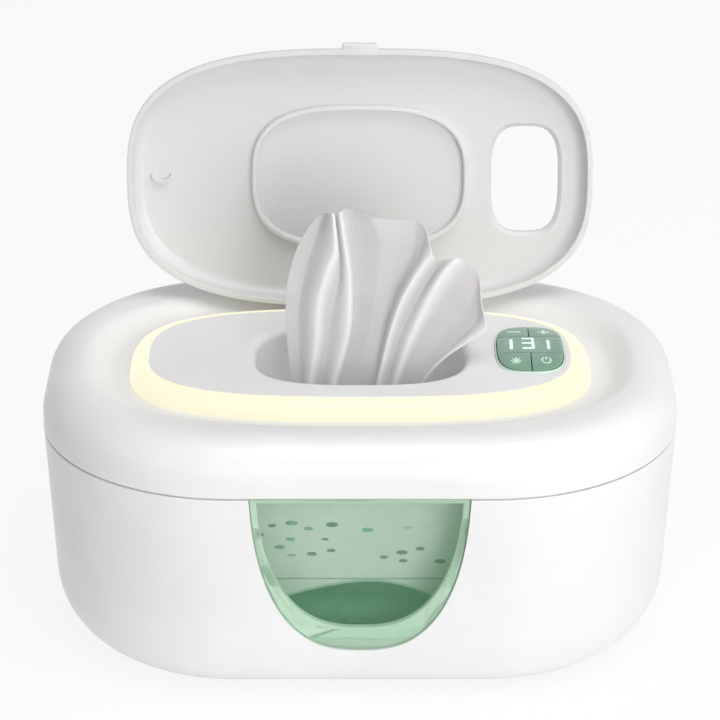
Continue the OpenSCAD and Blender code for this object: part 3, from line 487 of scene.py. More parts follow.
def cloth_surface():
    """Non-woven cloth: crossed fibres, soft clumps and embossed dots along the cloth's own map, and a painted
    highlight along the folds
    """
    group, given, place = group_of("Non-woven cloth", "UV", Colour=(0.9, 0.9, 0.9, 1), Shade=(0.7, 0.7, 0.7, 1),
                                   Pressed=(1, 1, 1, 1), Fibres=220.0, Dots=46.0, Depth=1.0)
    strands = []
    for turn in (0.5, -0.6):
        along = mapped(group, place, (0, 0, turn), (1.0, 0.12, 1.0))
        strands.append(node(group, "TexNoise", Vector=along, Scale=given["Fibres"], Detail=3.0,
                            Distortion=0.6).outputs["Fac"])
    fibre = calc(group, "MAXIMUM", *strands)
    dots = node(group, "TexVoronoi", Vector=place, Scale=given["Dots"], Randomness=0.0)
    dimple = spread(group, dots.outputs["Distance"], 0.16, 0.34)
    clump = spread(group, noise(group, place, 9.0, 4.0), 0.35, 0.7)
    tone = plus(group, times(group, clump, 0.3), times(group, dimple, -0.08))
    tone = plus(group, tone, spread(group, fibre, 0.62, 0.45, 0.0, 0.22), clamp=True)
    body = mix_colour(group, tone, given["Colour"], given["Shade"])
    # painted highlight: the cloth turns lighter near the ridges, by a mask stored on the wipe
    fold = node(group, "Attribute", attribute_name="fold").outputs["Fac"]
    height = times(group, plus(group, fibre, times(group, dimple, 0.5)), given["Depth"])
    return deliver(group, mix_colour(group, fold, body, given["Pressed"]),
                   spread(group, fibre, 0.4, 0.7, 0.95, 0.78), bump(group, height, 0.6, 0.00012))


def metal_surface():
    """Turned or rolled metal: fine streaks along X and a little dulling"""
    group, given, place = group_of("Rolled metal", Colour=(0.6, 0.6, 0.6, 1), Shade=(0.45, 0.45, 0.45, 1),
                                   Roughness=0.3)
    streak = noise(group, mapped(group, place, scale=(0.05, 1.0, 1.0)), 1800.0, 3.0)
    dull = spread(group, noise(group, place, 220.0, 3.0), 0.4, 0.7)
    return deliver(group, mix_colour(group, dull, given["Colour"], given["Shade"]),
                   plus(group, given["Roughness"], times(group, streak, 0.2)), bump(group, streak, 0.25, 0.00003))


def film_print():
    """Print of the wrapped pack: a pale field, a deeper lower field with a gentle wave, drifting leaves"""
    group, given, place = group_of("Pack print", Field=(0.8, 0.8, 0.8, 1), Deep=(0.2, 0.3, 0.2, 1),
                                   Accent=(0.4, 0.6, 0.5, 1))
    pale, deep, accent = given["Field"], given["Deep"], given["Accent"]
    x, _, z = node(group, "SeparateXYZ", Vector=place).outputs

    def ripple(per_metre, height):
        return times(group, calc(group, "SINE", times(group, x, per_metre)), height)

    # the deeper field: one broad hill with a gentle wave on its edge, lighter towards its foot
    hill = times(group, times(group, x, x), -8.3)
    edge = plus(group, plus(group, hill, ripple(120.0, 0.0006)), 0.0456)
    below = calc(group, "SUBTRACT", edge, z)
    band = times(group, spread(group, below, -0.0012, -0.0008), spread(group, below, 0.0002, -0.0002))
    line = calc(group, "COMPARE", z, 0.0470, 0.00035)
    low = mix_colour(group, times(group, spread(group, z, 0.0430, 0.0310), 0.75), deep, accent)
    # a scatter of small leaves in a slanting drift
    leaves = node(group, "TexVoronoi", Vector=mapped(group, place, (0, 0.55, 0), (1.0, 0.0, 2.3)), Scale=115.0,
                  Randomness=0.75)
    drift = plus(group, z, ripple(55.0, 0.0022))
    zone = times(group, spread(group, drift, 0.0535, 0.0560), spread(group, drift, 0.0720, 0.0690))
    leaf = times(group, spread(group, leaves.outputs["Distance"], 0.30, 0.25), zone)
    dark = calc(group, "GREATER_THAN", noise(group, place, 60.0, 0.0), 0.5)
    # the pale field with its leaves, a thin line and the band along the hill
    cloud = spread(group, noise(group, place, 22.0, 2.0), 0.3, 0.7)
    field = mix_colour(group, cloud, pale, mix_colour(group, 0.16, pale, accent))
    field = mix_colour(group, times(group, leaf, 0.85), field, mix_colour(group, dark, accent, deep))
    field = mix_colour(group, times(group, line, 0.5), field, deep)
    field = mix_colour(group, times(group, band, 0.6), field, accent)
    sides = mix_colour(group, spread(group, below, -0.0003, 0.0003), field, low)
    whole = mix_colour(group, spread(group, z, 0.0800, 0.0845), sides, (0.84, 0.85, 0.84, 1))
    crease = noise(group, place, 38.0, 4.0)
    return deliver(group, whole, spread(group, crease, 0.3, 0.7, 0.22, 0.38), bump(group, crease, 0.4, 0.0012))


def board_surface():
    """Solder resist over copper: faint tracks and pads"""
    group, given, place = group_of("Circuit board", Colour=(0.1, 0.3, 0.2, 1), Track=(0.15, 0.4, 0.25, 1))
    white, black = (1, 1, 1, 1), (0, 0, 0, 1)
    cells = node(group, "TexBrick", Vector=mapped(group, place, (math.pi / 2, 0, 0)), Scale=150.0, Color1=white,
                 Color2=white, Mortar=black, Mortar_Size=0.035).outputs["Fac"]
    return deliver(group, mix_colour(group, cells, given["Colour"], given["Track"]),
                   spread(group, noise(group, place, 300.0), 0.3, 0.7, 0.3, 0.5), bump(group, cells, 0.3, 0.00004))


GROUPS = {}


def surface(kind):
    """The node group of a kind of surface, made at its first use"""
    makers = {"moulded": moulded_surface, "cloth": cloth_surface, "metal": metal_surface, "print": film_print,
              "board": board_surface}
    if kind not in GROUPS:
        GROUPS[kind] = makers[kind]()
    return GROUPS[kind]


def finish(name, kind, values, **shader):
    """A material: a surface group with its values, feeding a shader with plain settings"""
    if name in bpy.data.materials:
        return bpy.data.materials[name]
    made = bpy.data.materials.new(name)
    made.use_nodes = True
    tree = made.node_tree
    principled = tree.nodes["Principled BSDF"]
    skin = tree.nodes.new("ShaderNodeGroup")
    skin.node_tree = surface(kind)
    skin.label = kind
    for key, value in values.items():
        skin.inputs[key].default_value = value
    for given, taken in (("Colour", "Base Color"), ("Roughness", "Roughness"), ("Normal", "Normal")):
        tree.links.new(skin.outputs[given], principled.inputs[taken])
    for key, value in shader.items():
        principled.inputs[key.replace("_", " ")].default_value = value
    made.diffuse_color = values.get("Colour", values.get("Field", (0.8, 0.8, 0.8, 1)))
    return made


def shaded(name, kind, rgb, shade, roughness, **shader):
    """A finish between a colour and its shade, both written as they look"""
    return finish(name, kind, {"Colour": linear(rgb), "Shade": linear(shade), "Roughness": roughness}, **shader)


def shade_of(rgb, factor):
    """A darker tone of a colour"""
    return tuple(v * factor for v in rgb[:3]) + (1.0,)


def plastic(name, rgb, roughness, shade=0.93, grain=0.3, **shader):
    return finish(name, "moulded", {"Colour": rgb, "Shade": shade_of(rgb, shade), "Roughness": roughness,
                                    "Grain depth": grain}, **shader)


def shell_finish():
    return plastic("Satin white shell", colour("shell"), 0.34, 0.95, 0.25, Coat_Weight=0.15, Coat_Roughness=0.12)


# A darker copy of the shell's white: painted shade on the lid's inside
def shaded_lid_finish():
    return plastic("Satin white lid", colour("lid"), 0.38, 0.97, 0.25, Coat_Weight=0.1, Coat_Roughness=0.15)


def inner_finish():
    return plastic("Inner white moulding", colour("inside"), 0.45, 0.94, 0.4)


def steel_finish():
    return shaded("Bright steel", "metal", (0.80, 0.81, 0.83), (0.66, 0.67, 0.69), 0.22, Metallic=1.0)


def key_finish():
    return plastic("Green keys", colour("key"), 0.26, 0.93, 0.2, Coat_Weight=0.3, Coat_Roughness=0.1)


def lit_finish(name, rgb, glow, strength):
    return plastic(name, rgb, 0.4, 0.97, 0.2, Emission_Color=glow, Emission_Strength=strength)


# The pieces

def runs():
    """Half lengths of the body's straight sides"""
    return size("body_width") / 2 - size("corner"), size("body_depth") / 2 - size("corner")


def window_outline(grow=0.0):
    """The window's shape, straight at the seam and round below, as x and z"""
    seam, tall, half = size("seam"), size("window_height"), size("window_width") / 2
    steps = 40
    right = []
    for i in range(steps + 1):
        t = math.sin(math.pi / 2 * i / steps)
        wide = (half - 0.06 * tall * t) * max(0.0, 1 - t ** 2.6) ** (1 / 2.6)
        right.append(((half + grow) / half * wide, seam - (tall + grow) * t))
    left = [(-x, z) for x, z in reversed(right[:-1])]
    return right + left + [(-right[0][0], seam + 4), (right[0][0], seam + 4)]


def hinge_middles():
    """Where the two rear hinges have their middles along X"""
    reach = runs()[0] - 9.2
    return -reach, reach


def rear_spans(kind):
    """Where the rear hinges' knuckles lie along X: one on the housing between two on the base"""
    if kind == "housing":
        return [(m - 8.8, m + 8.8) for m in hinge_middles()]
    return [span for m in hinge_middles() for span in ((m - 18, m - 9.1), (m + 9.1, m + 18))]


def rear_bar(name, low, high, r):
    """A round bar on the rear hinge's axis"""
    return bar(name, low, high, size("body_depth") / 2 + HINGE_PAST_WALL, size("seam"), r)


class WARMER_OT_base(bpy.types.Operator):
    """Model the base: a deep rounded tub wall with ledge, tongue, hinge knuckles and the window's cut-out"""
    bl_idname = "warmer.base"
    bl_label = "Base shell"

    def execute(self, context):
        corner, seam, r, wall = (size(n) for n in ("corner", "seam", "floor_round", "wall"))
        draft, foot, tongue = 0.056, 1.2, 2.5
        slant = math.hypot(1, draft)
        cx = corner - draft * (seam - r) - r * slant
        top = seam - SEAM_GAP
        rim = corner - draft * (seam - top)
        high = -math.atan(draft)
        profile = [(0, foot)] + arc(cx, r, r, math.asin((foot - r) / r), high, 20)
        profile += [(rim - 0.03, top - SEAM_GAP), (rim - SEAM_GAP, top)]
        inner = rim - wall * slant
        profile += [(inner + 1.2, top), (inner + 1.2, top + tongue - 0.3), (inner + 0.9, top + tongue),
                    (inner, top + tongue)]
        ledge = seam - 4.3
        at = corner - draft * (seam - ledge) - wall * slant
        profile += [(at, ledge), (at - 3, ledge), (at - 3, ledge - 1.5), (at - 0.2, ledge - 4.6)]
        profile += arc(cx, r, r - wall, high, math.asin((foot + wall - r) / (r - wall)), 20)
        profile.append((0, foot + wall))
        base = sweep("base_body", profile, *runs())
        close_flat(base, foot)
        close_flat(base, foot + wall)
        tidy_faces(base)
        rear = size("body_depth") / 2
        combine(base, [rear_bar("knuckle", a, b, KNUCKLE_R) for a, b in rear_spans("base")], "UNION")
        cuts = [prism("cut", window_outline(0.25), "y", -rear - 4, -rear + 14)]
        # room for the window frame's rim, the bottom cover's seat and the hole inside it
        cuts.append(block("cut", (-46, -rear + 3.0, 80), (46, -rear + 9, 92)))
        cuts.append(prism("cut", round_rect(80.3, 41.3, 30.3), "z", 0, foot + 1.3))
        cuts.append(prism("cut", round_rect(74, 35, 24), "z", 0, foot + wall + 2))
        for fx, fy in ((-62, -52), (-62, 52), (62, -52), (62, 52)):
            cuts.append(prism("cut", [(x + fx, y + fy) for x, y in round_rect(8.1, 8.1, 8.1)], "z", 0, foot + 0.8))
        socket_x, socket_z, socket_r = 46, 34, 4.8
        ring = [(socket_x + x, socket_z + z) for x, z in round_rect(socket_r, socket_r, socket_r)]
        cuts.append(prism("cut", ring, "y", rear - 11, rear + 1))
        for m in hinge_middles():
            cuts.append(block("cut", (m - 9.1, rear - wall - 3, seam - 3.2), (m + 9.1, rear + 6, seam + 4.8)))
            cuts.append(rear_bar("cut", m - PIN_HALF, m + PIN_HALF, 1.27))
        combine(base, cuts, "DIFFERENCE")
        finish_piece(base, "base", "body_white", shell_finish(), "base_shell")
        return {"FINISHED"}


class WARMER_OT_housing(bpy.types.Operator):
    """Model the top housing: a rounded crest that turns down into the dish, with the lid's bracket"""
    bl_idname = "warmer.housing"
    bl_label = "Top housing"

    def execute(self, context):
        corner, seam, crest, r, wall = (size(n) for n in ("corner", "seam", "crest", "crest_round", "wall"))
        foot, seat = seam + SEAM_GAP, 2.8
        cx, cz = corner - r, crest - r
        profile = [(cx + r * math.sin(t), cz + r * math.cos(t)) for t in (math.pi / 2 * i / 14 for i in range(15))]
        profile += [(corner, foot + SEAM_GAP), (corner - SEAM_GAP, foot), (corner - wall + 1.5, foot),
                    (corner - wall + 1.5, foot + seat), (corner - wall, foot + seat)]
        profile += arc(cx, cz, r - wall, 0, math.pi / 2, 10)
        walls = sweep("housing_body", profile, *runs())
        a, b, dish_t = size("dish_width") / 2, size("dish_depth") / 2, 2.4
        deck = size("deck_height")
        valley = deck - size("ring_height")

        def side(grow, drop, steps):
            """The dish's sloping side, from the crest down to the valley"""
            out = []
            for i in range(steps + 1):
                f = 1 - i / steps
                s = f * f * (3 - 2 * f)
                inset = 12 * (1 - f)
                out.append((a - inset + grow, b - inset + grow, valley + (crest - valley) * s - drop))
            return out

        hole = (size("deck_width") / 2 - 3, size("deck_depth") / 2 - 3)
        levels = side(0, 0, 12) + [(*hole, valley), (*hole, valley - dish_t)]
        under = side(1.2, dish_t, 6)[::-1]
        under[-1] = (under[-1][0], under[-1][1], crest - wall)
        dish = loft("dish", levels + under, (0, -1), DISH_OVAL, 112)
        take(walls)
        dish.select_set(True)
        bpy.ops.object.join()
        bridge_flat(walls, crest)
        bridge_flat(walls, crest - wall)
        tidy_faces(walls)
        rear = size("body_depth") / 2
        extra = [rear_bar("knuckle", p, q, KNUCKLE_R) for p, q in rear_spans("housing")]
        y, z = lid_axis()
        extra.append(block("bracket", (-15.2, y - 1.8, valley - 0.5), (15.2, y + 1.8, z), 0.4))
        extra.append(bar("bracket", -15.2, 15.2, y, z, 2.4))
        combine(walls, extra, "UNION")
        cuts = []
        for p, q in rear_spans("base"):
            cuts.append(block("cut", (p - 0.3, rear - wall - 1.5, foot - 1), (q + 0.3, rear + 6, foot + 3.2)))
        cuts += [rear_bar("cut", m - PIN_HALF, m + PIN_HALF, 1.3) for m in hinge_middles()]
        combine(walls, cuts, "DIFFERENCE")
        finish_piece(walls, "upper_part", "body_white", shell_finish(), "top_housing")
        return {"FINISHED"}


class WARMER_OT_deck(bpy.types.Operator):
    """Model the deck with its rolled dispensing opening and the panel's cut-out"""
    bl_idname = "warmer.deck"
    bl_label = "Deck"

    def execute(self, context):
        a, b, top = size("deck_width") / 2 - 0.15, size("deck_depth") / 2 - 0.15, size("deck_height")
        ta, tb, lip = size("throat_width") / 2, size("throat_depth") / 2, size("lip")
        low, wall = size("throat_foot"), 2
        levels = [(a, b, top - 2.4), (a, b, top - 0.25), (a - 0.25, b - 0.25, top)]
        for i in range(9):
            t = math.pi / 2 * i / 8
            d = lip * (1 - math.sin(t))
            levels.append((ta + d, tb + d, top - lip * (1 - math.cos(t))))
        levels += [(ta, tb, low + 0.4), (ta + 0.4, tb + 0.4, low), (ta + wall, tb + wall, low),
                   (ta + wall, tb + wall, top - lip), (ta + lip + 1, tb + lip + 1, top - 2.4)]
        deck = loft("deck_body", levels, (0, -1), DECK_OVAL, 112, "ring")
        px, py = panel_middle()
        around = oval(size("panel_width") / 2 + 1, size("panel_depth") / 2 + 1, PANEL_OVAL)
        hole = [(px + x, py + y) for x, y in around]
        combine(deck, [prism("cut", hole, "z", top - 8, top + 4)], "DIFFERENCE")
        finish_piece(deck, "upper_part", "body_white", shell_finish(), "deck_plate")
        return {"FINISHED"}


class WARMER_OT_glow_ring(bpy.types.Operator):
    """Model the translucent quarter-round ring that the lights shine through"""
    bl_idname = "warmer.glow_ring"
    bl_label = "Glowing ring"

    def execute(self, context):
        a, b, top = size("deck_width") / 2, size("deck_depth") / 2, size("deck_height")
        w, h, thick = size("ring_width"), size("ring_height"), 2
        turns = [math.pi / 2 * i / 12 for i in range(13)]
        levels = [(a + w * math.sin(t), b + w * math.sin(t), top - h * (1 - math.cos(t))) for t in turns]
        w, h, top = w - thick, h - thick, top - thick
        levels += [(a + w * math.sin(t), b + w * math.sin(t), top - h * (1 - math.cos(t)))
                   for t in reversed(turns)]
        ring = loft("ring_body", levels, (0, -1), DECK_OVAL, 112, "ring")
        cream = lit_finish("Glowing ring", linear((0.55, 0.54, 0.44)), colour("glow"), 0.74)
        finish_piece(ring, "upper_part", "ring_light", cream, "glow_ring", angle=50)
        return {"FINISHED"}


def panel_middle():
    """The middle of the control panel, right of the opening"""
    return size("deck_width") / 2 - 16.2, 0.7


def lid_axis():
    """Y and z of the lid's hinge"""
    return -1 + size("lid_depth") / 2 + 0.9, size("deck_height") - 4 + 0.25


def stand_open(piece):
    """Turn a piece that is modelled on the closed lid to the lid's open rest"""
    y, z = lid_axis()
    hinge = Vector((0, y * MM, z * MM))
    turn = Matrix.Rotation(-bpy.context.scene.warmer_sizes.lid_open, 4, "X")
    piece.data.transform(Matrix.Translation(hinge) @ turn @ Matrix.Translation(-hinge))
    piece.data.update()


class WARMER_OT_lid(bpy.types.Operator):
    """Model the flip lid with its panel cut-out, finger tab, knuckles, moulded crescent and seal"""
    bl_idname = "warmer.lid"
    bl_label = "Lid and seal"

    def execute(self, context):
        a, b = size("lid_width") / 2, size("lid_depth") / 2
        rim = size("deck_height") - 4
        top = rim + size("lid_height")
        skin, wall, fillet, rounding = 2.5, 2.2, 4.5, 7
        inner = top - skin
        turns = [math.pi / 2 * i / 10 for i in range(11)]
        levels = [(a * 0.5, b * 0.5, inner)]
        for t in turns:
            d = wall + fillet * (1 - math.sin(t))
            levels.append((a - d, b - d, inner - fillet * (1 - math.cos(t))))
        levels += [(a - wall, b - wall, rim + 0.25), (a - wall + 0.25, b - wall + 0.25, rim),
                   (a - 0.3, b - 0.3, rim), (a, b, rim + 0.3)]
        for t in turns:
            d = rounding * (1 - math.cos(t))
            levels.append((a - d, b - d, top - rounding * (1 - math.sin(t))))
        for f, h in ((0.75, 0.42), (0.55, 0.62), (0.35, 0.74), (0.15, 0.8)):
            levels.append((a * f, b * f, top + h))
        lid = loft("lid_body", levels, (0, -1), DECK_OVAL, 112, "capped")
        tab = prism("tab", [(x, y - 1 - b) for x, y in round_rect(7.2, 2.6, 1.2)], "z", rim, rim + 2.6)
        soften(tab, 0.6)
        y, z = lid_axis()
        parts = [tab] + [bar("knuckle", p, q, y, z, 2.4) for p, q in ((-28, -15.8), (15.8, 28))]
        combine(lid, parts, "UNION")
        px, py = panel_middle()
        pw, pd = size("panel_width") / 2, size("panel_depth") / 2
        hole = [(px + u, py + v) for u, v in oval(pw + 0.7, pd + 0.7, PANEL_OVAL)]
        flare = [(pw + d, pd + d, inner + h) for d, h in ((3.6, -1.1), (2.0, 0.2), (0.9, 0.9), (0.6, 1.4))]
        cuts = [prism("cut", hole, "z", inner - 6, inner + 6),
                loft("cut", flare, (px, py), PANEL_OVAL, 96, "capped"),
                block("cut", (-15.8, y - 3, z - 3), (15.8, y + 3, z + 3)), bar("cut", -29, 29, y, z, 1.05)]
        combine(lid, cuts, "DIFFERENCE")
        stand_open(lid)
        finish_piece(lid, "lid", "body_white", shaded_lid_finish(), "lid_shell", angle=30)
        # the small crescent, raised on the inside
        swing = [math.radians(25 + 130 * i / 12) for i in range(13)]
        moon = [(4.6 * math.cos(t), 4.8 * math.sin(t) - 3.2) for t in swing]
        moon += [(4.3 * math.cos(t), 4.6 * math.sin(t) - 4.5) for t in reversed(swing)]
        crescent = prism("lid_crescent", [(u + 13.7 - a, v + 0.5) for u, v in moon], "z", inner - 1.6, inner + 0.1)
        soften(crescent, 0.15, 2)
        stand_open(crescent)
        finish_piece(crescent, "lid", "body_white", shaded_lid_finish())
        sa, sb = size("throat_width") / 2 + 3.3, size("throat_depth") / 2 + 1
        low = size("deck_height") + 0.4
        ring = [(sa - d, sb - d, z) for d, z in (
            (0, inner), (0, low + 1.2), (0.2, low + 0.4), (0.6, low), (1.5, low), (2.0, low + 0.4),
            (2.2, low + 1.2), (2.2, inner))]
        seal = loft("seal_body", ring, (0, -0.5), DECK_OVAL, 96, "ring")
        stand_open(seal)
        soft = plastic("Soft seal", linear((0.885, 0.885, 0.88)), 0.5, 0.95, 0.4)
        finish_piece(seal, "lid", "soft_seal", soft, "lid_seal")
        return {"FINISHED"}


def crown(x, y):
    """Height of the panel's crowned face at a place, in millimetres"""
    px, py = panel_middle()
    return size("deck_height") + 2.5 - 160 + math.sqrt(160 ** 2 - (x - px) ** 2 - (y - py) ** 2)


def stroke(points, half):
    """Outline of a straight stroke with round ends"""
    (ax, ay), (bx, by) = points
    angle = math.atan2(by - ay, bx - ax)
    out = []
    for i in range(9):
        t = angle - math.pi / 2 + math.pi * i / 8
        out.append((bx + half * math.cos(t), by + half * math.sin(t)))
    for i in range(9):
        t = angle + math.pi / 2 + math.pi * i / 8
        out.append((ax + half * math.cos(t), ay + half * math.sin(t)))
    return out


def arc_band(cx, cy, rx, ry, half, start, end, steps=28):
    """Outline of a curved stroke"""
    out = []
    for side in (1, -1):
        for i in range(steps + 1):
            k = i if side > 0 else steps - i
            t = start + (end - start) * k / steps
            out.append((cx + (rx + side * half) * math.cos(t), cy + (ry + side * half) * math.sin(t)))
    return out


def lay_marks(name, shapes, body, made):
    """Thin raised marks that follow the crowned face"""
    pieces = []
    for shape in shapes:
        mark = prism(name, shape, "z", 0, 0.14)
        for v in mark.data.vertices:
            v.co.z += (crown(v.co.x / MM, v.co.y / MM) - 0.04) * MM
        pieces.append(mark)
    take(pieces[0])
    for other in pieces[1:]:
        other.select_set(True)
    if len(pieces) > 1:
        bpy.ops.object.join()
    finish_piece(named(name), body, "key_green", made)


class WARMER_OT_panel(bpy.types.Operator):
    """Finish the control panel: bezel, four keys, display strip, printed marks and lit digits"""
    bl_idname = "warmer.panel"
    bl_label = "Control panel"

    def execute(self, context):
        green = key_finish()
        for name in ("minus", "plus", "light", "power"):
            key = merged_copy("key_" + name, name + "_cap", 0.35)
            finish_piece(key, name + "_key", "key_green", green, "key_" + name)
        strip = merged_copy("display_window", "display_face", 0.2)
        smoked = plastic("Display face", colour("key"), 0.2, 0.95, 0.15, Coat_Weight=0.5, Coat_Roughness=0.06)
        finish_piece(strip, "upper_part", "key_green", smoked, "display_window")
        rim = merged_copy("panel_bezel", "bezel_rim", 0.15)
        pale = plastic("Bezel", colour("bezel"), 0.25, 0.97, 0.15)
        finish_piece(rim, "upper_part", "bezel", pale, "panel_bezel")
        printed = plastic("Printed marks", colour("mark"), 0.4, 0.98, 0.1)
        lit = lit_finish("Lit digits", colour("mark"), colour("mark"), 0.35)
        lay_marks("minus_mark", [stroke(((59.3, 15.6), (63.6, 15.6)), 0.62)], "minus_key", printed)
        cross = [stroke(((71.3, 15.4), (75.1, 15.4)), 0.55), stroke(((73.2, 13.6), (73.2, 17.2)), 0.62)]
        lay_marks("plus_mark", cross, "plus_key", printed)
        rays = [stroke(((61.3 + 1.0 * math.cos(t), -13.4 + 1.4 * math.sin(t)),
                        (61.3 + 2.0 * math.cos(t), -13.4 + 2.7 * math.sin(t))), 0.26)
                for t in (math.pi / 4 * i for i in range(8))]
        bulb = [(61.3 + x, -13.4 + y) for x, y in oval(0.95, 1.25, 2.0, 20)]
        lay_marks("light_mark", [bulb] + rays, "light_key", printed)
        ring = arc_band(73.2, -13.0, 1.75, 2.3, 0.32, math.radians(118), math.radians(422))
        lay_marks("power_mark", [ring, stroke(((73.2, -12.3), (73.2, -10.6)), 0.3)], "power_key", printed)
        digits = [stroke(((59.85, -2.6), (59.95, 6.2)), 0.62)]
        for y in (-2.5, 2.5, 7.3):
            digits.append(stroke(((64.7, y), (68.2, y)), 0.6))
        digits.append(stroke(((68.5, -2.5), (68.5, 7.3)), 0.6))
        digits.append(stroke(((74.6, -2.4), (74.6, 5.4)), 0.62))
        lay_marks("display_digits", digits, "upper_part", lit)
        return {"FINISHED"}


class WARMER_OT_window(bpy.types.Operator):
    """Finish the window: the clear green pane and the thick frame behind it"""
    bl_idname = "warmer.window"
    bl_label = "Window"

    def execute(self, context):
        pane = merged_copy("window_pane", "pane_clear")
        clear = plastic("Clear green pane", colour("window"), 0.12, 0.97, 0.1, Alpha=0.15, Coat_Weight=0.3,
                        Coat_Roughness=0.03)
        finish_piece(pane, "base", "clear_green", clear, "window_pane")
        rim = merged_copy("window_frame", "frame_rim", 0.25)
        pale = plastic("Window frame", colour("rim"), 0.25, 0.92, 0.15)
        finish_piece(rim, "base", "frame_green", pale, "window_frame")
        return {"FINISHED"}


# The standing wipe: places (x, z) up each fold, bottom to top, and how far each fold stands to the back
FOLDS = [
    (3, [(-27.0, 101.8), (-28.7, 117.9), (-29.3, 132.3), (-27.7, 146.6), (-23.5, 159.6), (-16.8, 170.4)]),
    (2.5, [(-23.6, 101.5), (-24.0, 118.0), (-23.7, 132.5), (-21.4, 146.8), (-17.7, 159.8), (-13.6, 172.1)]),
    (-5, [(-19.8, 102.3), (-17.5, 119.1), (-16.4, 136.3), (-12.8, 150.5), (-9.7, 160.6), (-10.6, 175.0)]),
    (-2.8, [(-15.4, 100.5), (-12.6, 117.5), (-11.0, 131.1), (-8.6, 143.1), (-7.5, 153.2), (-9.3, 172.2)]),
    (-6, [(-10.6, 101.7), (-5.1, 122.2), (-4.0, 137.4), (-4.3, 150.2), (-6.1, 163.1), (-7.7, 175.6)]),
    (2, [(-7.9, 100.5), (-3.0, 120.3), (-1.9, 134.8), (-2.0, 147.0), (-3.1, 160.0), (-5.1, 174.0)]),
    (-1, [(-2.4, 100.6), (3.0, 121.1), (5.7, 135.8), (7.3, 148.2), (7.6, 161.2), (4.3, 172.0)]),
    (1, [(3.0, 100.5), (7.1, 119.1), (10.4, 133.7), (13.4, 146.7), (15.4, 159.0), (13.6, 170.0)]),
    (1.5, [(5.6, 100.9), (8.6, 117.5), (12.6, 132.1), (17.1, 145.1), (20.7, 157.3), (22.0, 170.2)]),
    (-1, [(6.4, 101.6), (9.5, 118.8), (13.6, 133.6), (18.6, 146.0), (23.4, 156.2), (25.8, 166.0)]),
    (-7, [(7.2, 102.5), (10.8, 120.3), (14.9, 135.5), (20.0, 147.0), (24.6, 154.2), (28.1, 157.8)]),
    (1, [(10.9, 101.0), (14.5, 116.9), (18.9, 129.3), (24.6, 140.2), (28.9, 147.4), (31.8, 153.1)]),
    (-3, [(13.8, 101.6), (18.6, 117.8), (23.9, 131.3), (28.8, 142.5), (33.5, 150.5), (37.8, 155.3)]),
    (0, [(17.0, 101.2), (23.4, 117.1), (30.1, 127.4), (36.7, 136.9), (41.3, 144.9), (43.9, 150.6)]),
    (-1, [(20.1, 101.3), (27.8, 114.4), (35.1, 123.7), (41.8, 132.2), (45.3, 140.2), (46.7, 146.4)]),
    (-5, [(22.6, 102.0), (30.0, 112.1), (37.5, 119.9), (43.5, 126.5), (46.6, 131.3), (47.7, 135.9)]),
    (-9, [(25.0, 102.6), (28.8, 109.3), (34.1, 115.5), (40.7, 121.1), (45.5, 124.6), (49.7, 128.7)]),
]
# Folds whose ridges get a painted highlight in the cloth's colour
HIGHLIT_RIDGES = (2, 4, 10, 12, 16)


def through(points, t):
    """A smooth curve through points, t from 0 to 1"""
    n = len(points) - 1
    i = min(n - 1, int(t * n))
    f = t * n - i
    a, b, c, d = points[max(0, i - 1)], points[i], points[i + 1], points[min(n, i + 2)]
    return tuple(0.5 * (2 * q + (r - p) * f + (2 * p - 5 * q + 4 * r - s) * f * f
                        + (3 * q - p - 3 * r + s) * f ** 3) for p, q, r, s in zip(a, b, c, d))


def creased(points, t, ease=0.45):
    """Between a smooth curve and straight runs, so that folds keep their crease"""
    n = len(points) - 1
    i = min(n - 1, int(t * n))
    f = t * n - i
    straight = [q + (r - q) * f for q, r in zip(points[i], points[i + 1])]
    return [a + (b - a) * ease for a, b in zip(straight, through(points, t))]


def wipe_place(u, v):
    """A point of the wipe's middle surface: u across the folds, v from the pack to the top edge"""
    neck, middle, foot = 0.18, -4.5, 86.15
    rise = max(0.0, (v - neck) / (1 - neck))
    across = [through(points, rise) + (depth,) for depth, points in FOLDS]
    x, z, depth = creased(across, u)
    loose = 0.35 + 0.65 * min(1.0, rise * 1.6)
    y = middle + depth * loose
    if v < neck:
        f = v / neck
        x = x * (0.72 + 0.28 * f)
        z = foot + (z - foot) * f
        y = middle + depth * (0.2 + 0.15 * f)
    y += 0.35 * math.sin(9 * v + 21 * u) * rise
    return x * MM, y * MM, z * MM


def fold_highlight_at(u):
    """How close a place is to a highlighted ridge, from 0 to 1: the mask of the painted highlight along the ridges
    """
    at = u * (len(FOLDS) - 1)
    reach, fall = 0.7, 1.3
    near = min(abs(at - ridge) for ridge in HIGHLIT_RIDGES)
    return max(0.0, 1 - near / reach) ** fall


class WARMER_OT_wipe(bpy.types.Operator):
    """Model the wipe that stands out of the opening, as one thin folded cloth"""
    bl_idname = "warmer.wipe"
    bl_label = "Wipe"

    def execute(self, context):
        across, up = 160, 80
        begin()
        bpy.ops.mesh.primitive_grid_add(x_subdivisions=across, y_subdivisions=up, size=2, calc_uvs=True)
        wipe = named("wipe_cloth")
        # a mask for the painted highlight along the ridges, stored on each point
        folds = wipe.data.attributes.new("fold", "FLOAT", "POINT")
        for v, mark in zip(wipe.data.vertices, folds.data):
            u, w = (v.co.x + 1) / 2, (v.co.y + 1) / 2
            mark.value = fold_highlight_at(u)
            v.co = wipe_place(u, w)
        modify(wipe, "SOLIDIFY", thickness=size("wipe_thickness") * MM, offset=0)
        white = colour("wipe")
        # the near-white colour for the ridges is a painted highlight
        tones = {"Colour": white, "Shade": shade_of(white, 0.88), "Pressed": linear((0.97,) * 3), "Depth": 0.5}
        cloth = finish("Damp wipe", "cloth", tones,
                       Sheen_Weight=0.2, Sheen_Roughness=0.5, Subsurface_Weight=0.15, Subsurface_Scale=0.002)
        finish_piece(wipe, "upper_part", "wipe_cloth", cloth, "wipe", angle=60)
        (size("deck_height") + 0.1) * MM
        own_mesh(wipe)
        return {"FINISHED"}


